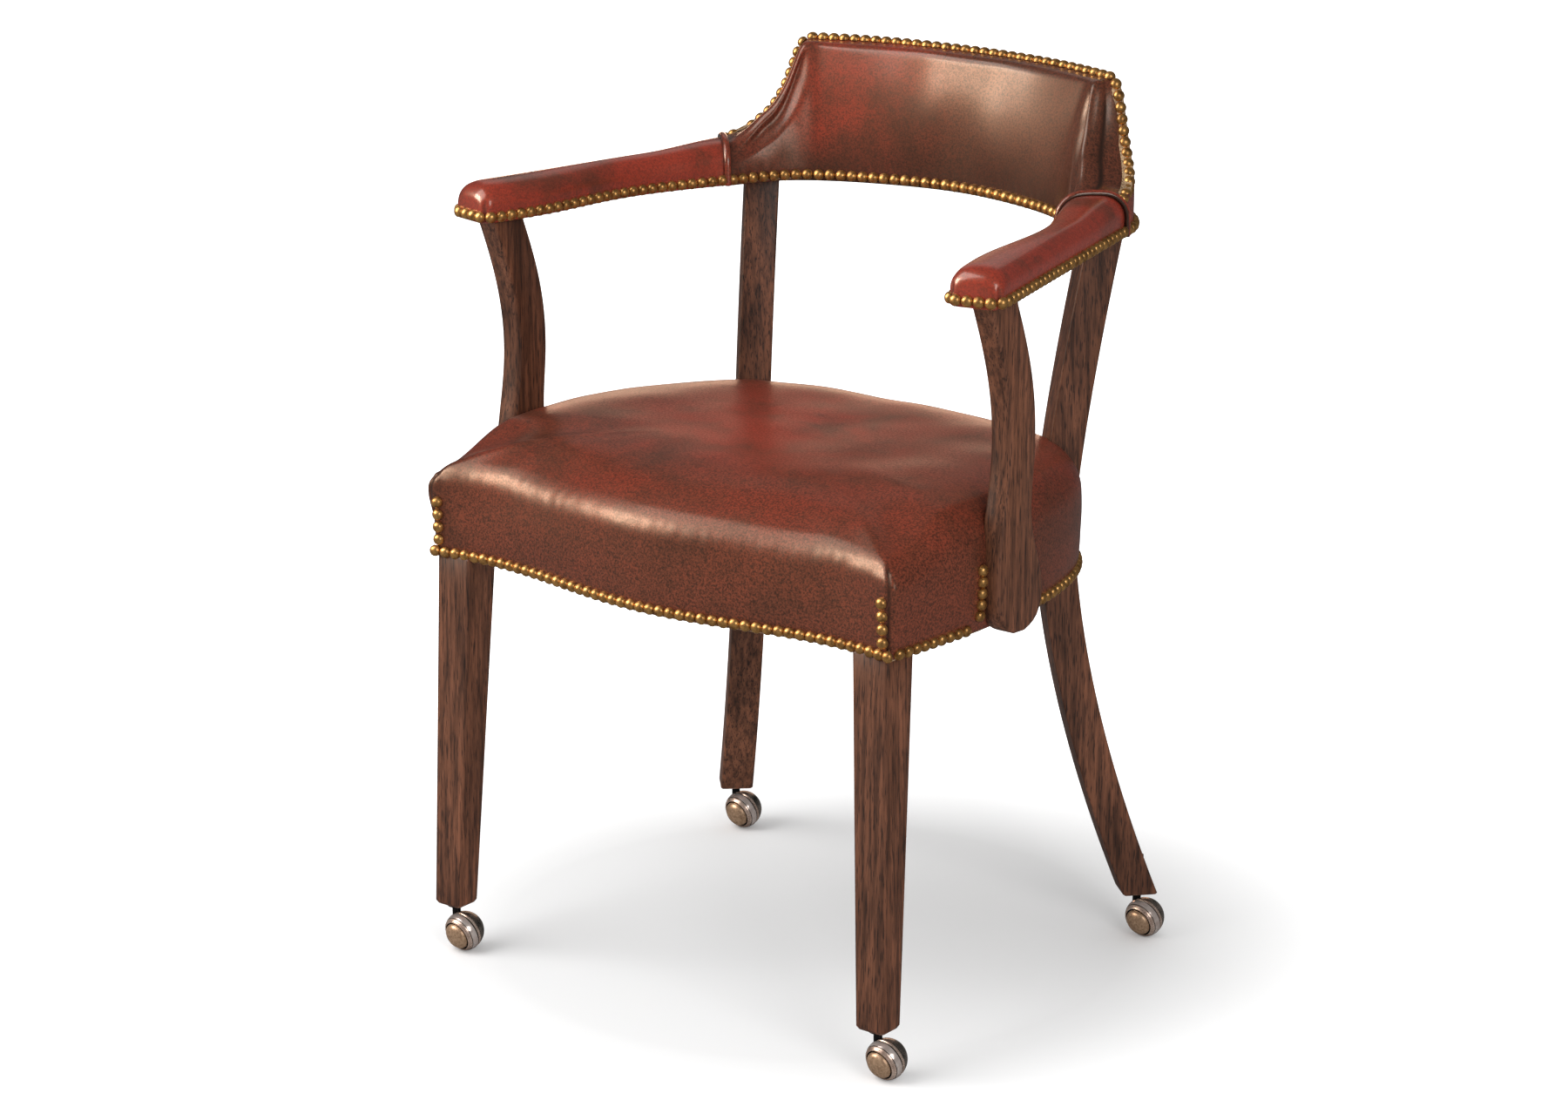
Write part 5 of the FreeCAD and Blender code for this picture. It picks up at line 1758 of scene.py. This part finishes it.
def inward(outline: np.ndarray, inset: float) -> np.ndarray:
    """Closed outline drawn in by a distance along its own normals."""
    ahead = np.roll(outline, -1, 0) - np.roll(outline, 1, 0)
    ahead /= np.linalg.norm(ahead, axis=1)[:, None]
    normal = np.stack([-ahead[:, 1], ahead[:, 0]], axis=1)
    sign = np.sign(np.sum((outline.mean(axis=0) - outline) * normal))
    return outline + normal * sign * inset


# Casters


@dataclass
class Caster:
    """Ball caster: hood, wheel and cap about a tilted axle."""

    place: str
    ball: float = 19.1
    offset: tuple[float, float] = (10.2, -0.9)
    tilt: float = 16.0
    cap_face: float = 9.0
    cap_radius: float = 16.2
    cap_dome: float = 8.2
    cap_rim: float = 0.9
    tread_top: float = 6.6
    bore: float = 2.5
    steps: int = 48

    def axis(self) -> Vector:
        """Direction of the axle, out through the cap."""
        trail = Vector((*self.offset, 0.0)).normalized()
        level = Vector((trail.y, -trail.x, 0.0))
        tilt = math.radians(self.tilt)
        return level * math.cos(tilt) - Vector((0, 0, 1)) * math.sin(tilt)

    def centre(self) -> Vector:
        """Middle of the ball in the shared frame."""
        low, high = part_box("caster_stem_" + self.place)
        stem = (low + high) / 2.0
        return Vector((stem.x + self.offset[0] * MM, stem.y + self.offset[1] * MM, self.ball * MM))

    def turned(self, name: str, outline: Sequence[tuple[float, float]]) -> bpy.types.Object:
        """Piece turned about the axle from radii and heights, in millimetres."""
        angles = np.linspace(0.0, 2.0 * math.pi, self.steps, endpoint=False)
        rings = [[Vector((radius * MM * math.cos(a), radius * MM * math.sin(a), height * MM)) for a in angles]
                 for radius, height in outline]
        piece = pick(loft(name, rings))
        piece.rotation_mode = "QUATERNION"
        piece.rotation_quaternion = Vector((0, 0, 1)).rotation_difference(self.axis())
        piece.location = self.centre()
        bpy.ops.object.transform_apply(location=True, rotation=True, scale=True)
        shade(piece, Smooth.BY_ANGLE, 32.0)
        return piece

    def arc(self, low: float, high: float, radius: float, count: int) -> list[tuple[float, float]]:
        """Points of the ball's outline between two heights."""
        start, end = math.asin(low / radius), math.asin(high / radius)
        return [(radius * math.cos(a), radius * math.sin(a)) for a in np.linspace(start, end, count)]

    def finish(self, piece: bpy.types.Object, materials: Sequence[bpy.types.Material],
               chosen: Callable[[float, float], int]) -> None:
        """Give each face of a turned piece the finish of its place.

        Args:
            piece: the turned piece.
            materials: its finishes.
            chosen: number of the finish for a radius and a height along the axle.
        """
        piece.data.materials.clear()
        for material in materials:
            piece.data.materials.append(material)
        axis, centre = self.axis(), self.centre()
        for face in piece.data.polygons:
            away = (face.center - centre) / MM
            height = away.dot(axis)
            face.material_index = chosen((away - axis * height).length, height)

    def wheel(self, palette: Palette) -> bpy.types.Object:
        """Wheel: polished tread, a dark line and a copper shoulder."""
        top = self.tread_top
        outline = [(2.6, 0.4), (17.6, 0.4)] + self.arc(1.0, top, self.ball, 8)
        outline += [(17.7, 6.7), (17.6, 7.1)] + self.arc(7.2, 8.6, self.ball - 0.1, 4)
        outline += [(16.6, self.cap_face), (4.8, self.cap_face)]
        piece = self.turned("wheel_shell_" + self.place, outline)

        def chosen(_: float, height: float) -> int:
            """Groove below the tread and above it, tread between, shoulder over all."""
            if height < 0.9 or top < height < 7.15:
                return 1
            return 0 if height < top else 2

        self.finish(piece, [palette.bright, palette.groove, palette.rim], chosen)
        return piece

    def cap(self, palette: Palette) -> bpy.types.Object:
        """Domed cap inside a rim, with a dark groove between them."""
        top = self.cap_face + self.cap_rim
        rim = self.cap_radius
        outline = [(2.0, self.cap_face), (rim - 0.3, self.cap_face), (rim, self.cap_face + 0.3),
                   (rim - 0.3, top), (rim - 1.0, top + 0.45), (rim - 1.7, top + 0.3),
                   (rim - 2.0, top - 0.6), (rim - 2.9, top - 0.6), (rim - 3.1, top + 0.2)]
        dome = rim - 3.1
        rise = self.cap_face + self.cap_dome - top - 0.2
        for angle in (math.pi / 2.0 * i / 11.0 for i in range(1, 11)):
            outline.append((dome * math.cos(angle), top + 0.2 + rise * math.sin(angle)))
        piece = self.turned("cap_shell_" + self.place, outline)

        def chosen(radius: float, height: float) -> int:
            """Dome in the middle, rim outside, groove between."""
            if radius < dome and height > top:
                return 0
            return 2 if radius > rim - 1.8 else 1

        self.finish(piece, [palette.copper, palette.groove, palette.rim], chosen)
        return piece

    def hood(self, palette: Palette) -> bpy.types.Object:
        """Domed hood behind the wheel."""
        back = -math.sqrt(self.ball ** 2 - (self.ball * 0.28) ** 2)
        outline = [(self.bore, back)] + self.arc(back, -1.6, self.ball - 0.3, 16)
        outline += [(self.ball - 0.9, -0.9), (self.ball - 1.6, -0.4), (self.bore, -0.4)]
        piece = self.turned("hood_shell_" + self.place, outline)
        self.finish(piece, [palette.hood, palette.rim],
                    lambda radius, height: int(height > -2.6 and radius > self.ball - 1.2))
        return piece


# The chair


class Chair:
    """The whole chair, dressed sub-assembly by sub-assembly."""

    def __init__(self) -> None:
        """Make the palette that every piece is dressed from."""
        self.palette = Palette()

    def build(self) -> None:
        """Dress the CAD nodes and build every piece."""
        self.dress_nodes()
        seat = self.seat()
        back, inside, outside = self.back()
        arms = self.arms()
        self.nails(seat, back, inside, outside, arms)
        self.woodwork()
        self.casters()

    def dress_nodes(self) -> None:
        """Give every CAD node a finish of its slot, then the black lining to the arm cores and the yoke's
        back.
        """
        slots = {part["node"]: part["material_slot"] for part in frame["record"]["subparts"]}
        for name, node in frame["nodes"].items():
            node.data.materials.clear()
            node.data.materials.append(self.palette.by_slot(Slot(slots[name])))
        for name in ("arm_core_left", "arm_core_right", "yoke_back"):
            frame["nodes"][name].data.materials[0] = self.palette.lining
        log.info("dressed %d CAD nodes", len(frame["nodes"]))

    def seat(self) -> bpy.types.Object:
        """Padded seat."""
        seat = SeatUpholstery().build()
        dress(seat, self.palette.leather, "frame")
        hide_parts("seat_cover", "seat_foam")
        log.info("seat: %d points", len(seat.data.vertices))
        return seat

    def back(self) -> tuple[BackUpholstery, bpy.types.Object, bpy.types.Object]:
        """Padded inside of the back and its outside leather."""
        back = BackUpholstery()
        inside = back.inside()
        dress(inside, self.palette.leather, "frame")
        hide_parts("back_inside_leather", "back_foam")
        outside = back.outside()
        dress(outside, self.palette.leather, "frame")
        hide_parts("back_outside_leather")
        log.info("back: %d points", len(inside.data.vertices))
        return back, inside, outside

    def arms(self) -> dict[str, tuple[ArmUpholstery, bpy.types.Object]]:
        """Both padded arms with their cuffs."""
        made = {}
        for word, side in SIDES.items():
            arm = ArmUpholstery(side)
            pad = arm.build("arm_upholstery_" + word)
            dress(pad, self.palette.leather, "frame")
            self.line_underside(pad)
            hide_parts("arm_cover_" + word, "arm_foam_" + word, "arm_core_" + word)
            cuff = arm.cuff("arm_cuff_" + word)
            dress(cuff, self.palette.leather, "frame")
            made[word] = (arm, pad)
            log.info("arm %s: %d points", word, len(pad.data.vertices))
        return made

    def line_underside(self, pad: bpy.types.Object) -> None:
        """Give an arm's flat underside its black lining."""
        pad.data.materials.append(self.palette.lining)
        for face in pad.data.polygons:
            if face.normal.z < -0.9 and face.center.z < (LEVELS.arm_bottom + 1.0) * MM:
                face.material_index = 1

    def nails(self, seat: bpy.types.Object, back: BackUpholstery, inside: bpy.types.Object,
              outside: bpy.types.Object, arms: dict[str, tuple[ArmUpholstery, bpy.types.Object]]) -> None:
        """Every nail of the chair."""
        plan = NailPlan()
        setter = NailSetter()
        rows = [("seat", plan.seat(), [seat], ["seat_nails"]),
                ("back", plan.back(back), [inside, outside], ["back_nails"])]
        for word, (arm, pad) in arms.items():
            rows.append(("arm_" + word, plan.arm(arm), [pad], ["arm_nails_" + word]))
        for name, lines, hides, nodes in rows:
            piece = setter.drive("nail_heads_" + name, lines, hides)
            dress(piece, self.palette.nails, "frame")
            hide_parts(*nodes)
            log.info("nails %s: %d faces", name, len(piece.data.polygons))
        setter.put_away()

    def woodwork(self) -> None:
        """Legs and arm supports."""
        for word, side in SIDES.items():
            for part, node in ((FrontLeg(side), "front_leg_"), (RearLeg(side), "rear_leg_"),
                               (ArmSupport(side), "arm_support_")):
                piece = part.build(node + word + "_finished")
                dress(piece, self.palette.wood, "frame")
                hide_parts(node + word)
        log.info("woodwork done")

    def casters(self) -> None:
        """The four ball casters."""
        for end in ("front", "rear"):
            for word in SIDES:
                place = end + "_" + word
                caster = Caster(place)
                wheel, cap, hood = (make(self.palette) for make in (caster.wheel, caster.cap, caster.hood))
                for piece, body in ((wheel, "wheel_"), (cap, "wheel_"), (hood, "caster_")):
                    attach(piece, body + place)
                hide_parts("caster_wheel_" + place)
                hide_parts("caster_cap_" + place)
                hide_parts("caster_hood_" + place)
        log.info("casters done")


# Studio


@dataclass(frozen=True)
class Lamp:
    """Soft rectangular lamp: where it hangs, what it faces, its sides in metres, watts and colour.

    One that doesn't light shows in the chair's gloss alone.
    """

    name: str
    place: Place
    aim: Place
    size: tuple[float, float]
    watts: float
    tint: Colour = (1.0, 1.0, 1.0)
    lights: bool = True

    def hang(self) -> None:
        """Add the lamp to the scene."""
        deselect()
        bpy.ops.object.light_add(type="AREA", location=self.place)
        lamp = bpy.context.active_object
        lamp.name = "lamp_" + self.name
        lamp.data.shape = "RECTANGLE"
        lamp.data.size, lamp.data.size_y = self.size
        lamp.data.energy = self.watts
        lamp.data.color = self.tint
        lamp.rotation_euler = (Vector(self.aim) - Vector(self.place)).to_track_quat("-Z", "Y").to_euler()
        lamp.visible_camera = False
        lamp.visible_diffuse = self.lights


LAMPS = (
    Lamp("window", (-1.56, -1.50, 1.37), (0.05, 0.25, 0.76), (0.9, 0.75), 40.0, (1.0, 0.86, 0.72), False),
    Lamp("key", (-1.5, -1.9, 2.8), (0.0, 0.0, 0.45), (2.5, 2.5), 72.0),
    Lamp("fill", (3.2, -1.6, 2.0), (0.0, 0.0, 0.4), (1.6, 1.6), 40.0),
    Lamp("rear", (-1.7, 2.4, 0.62), (0.0, 0.0, 0.5), (1.7, 0.34), 8.0, (1.0, 0.62, 0.42), False),
    Lamp("sky", (-1.3, 2.2, 2.2), (0.0, 0.0, 0.7), (2.4, 1.6), 3.5, (1.0, 0.86, 0.78), False),
)


@dataclass
class Studio:
    """Pale floor, soft lamps and the camera at the photograph's angle, in metres."""

    eye: Place = (2.3204, -3.0198, 1.5452)
    target: Place = (0.0, -0.0034, 0.3868)
    lens: float = 98.4
    floor_size: float = 40.0
    floor_white: float = 0.9
    white_from: float = 0.3
    white_to: float = 0.85
    room: float = 0.62
    dark: float = 0.06
    gloss_floor: float = 0.16
    floor_lift: float = 0.07

    def build(self) -> None:
        """Set the stage."""
        self.floor()
        for lamp in LAMPS:
            lamp.hang()
        self.camera()
        scene = bpy.context.scene
        scene.view_settings.view_transform = "Standard"
        self.world(scene)

    def floor(self) -> None:
        """Pale floor that runs out to white and keeps the chair's shadow."""
        deselect()
        bpy.ops.mesh.primitive_plane_add(size=self.floor_size)
        floor = added("studio_floor")
        material = bpy.data.materials.new("studio floor")
        material.use_nodes = True
        tree = material.node_tree
        principled = tree.nodes["Principled BSDF"]
        principled.inputs["Roughness"].default_value = 0.9
        principled.inputs["Specular IOR Level"].default_value = 0.1
        coord = tree.nodes.new("ShaderNodeTexCoord").outputs["Object"]
        away = tree.nodes.new("ShaderNodeVectorMath")
        away.operation = "LENGTH"
        tree.links.new(coord, away.inputs[0])
        spread = tree.nodes.new("ShaderNodeMapRange")
        spread.inputs["From Min"].default_value = self.white_from
        spread.inputs["From Max"].default_value = self.white_to
        tree.links.new(away.outputs["Value"], spread.inputs["Value"])
        path = tree.nodes.new("ShaderNodeLightPath")
        pale = mixed(tree, path.outputs["Is Glossy Ray"], (self.floor_white,) * 3, (self.gloss_floor,) * 3)
        tree.links.new(pale, principled.inputs["Base Color"])
        glow = tree.nodes.new("ShaderNodeEmission")
        lift = worked(tree, "ADD", spread.outputs["Result"], self.floor_lift)
        seen = worked(tree, "MULTIPLY", lift, path.outputs["Is Camera Ray"])
        tree.links.new(seen, glow.inputs["Strength"])
        both = tree.nodes.new("ShaderNodeAddShader")
        tree.links.new(principled.outputs["BSDF"], both.inputs[0])
        tree.links.new(glow.outputs["Emission"], both.inputs[1])
        tree.links.new(both.outputs["Shader"], tree.nodes["Material Output"].inputs["Surface"])
        floor.data.materials.append(material)

    def world(self, scene: bpy.types.Scene) -> None:
        """White to the camera, pale to the chair, dark in its reflections."""
        world = bpy.data.worlds.new("studio")
        world.use_nodes = True
        tree = world.node_tree
        background = tree.nodes["Background"]
        path = tree.nodes.new("ShaderNodeLightPath")
        unseen = mixed(tree, path.outputs["Is Glossy Ray"], (self.room,) * 3, (self.dark,) * 3)
        light = mixed(tree, path.outputs["Is Camera Ray"], unseen, (1.0,) * 3)
        tree.links.new(light, background.inputs["Color"])
        scene.world = world

    def camera(self) -> None:
        """Camera at the photograph's angle."""
        deselect()
        shift = Vector((0.0, ROW_SHIFT * MM, 0.0))
        eye = Vector(self.eye) + shift
        bpy.ops.object.camera_add(location=eye)
        camera = bpy.context.active_object
        camera.name = "photo_camera"
        camera.data.sensor_width = 36.0
        camera.data.lens = self.lens
        camera.rotation_euler = (Vector(self.target) + shift - eye).to_track_quat("-Z", "Y").to_euler()
        bpy.context.scene.camera = camera


def main() -> None:
    """Build the chair and its studio."""
    logging.basicConfig(level=logging.INFO, format="%(name)s: %(message)s")
    Chair().build()
    Studio().build()
    deselect()


if __name__ == "__main__":
    main()
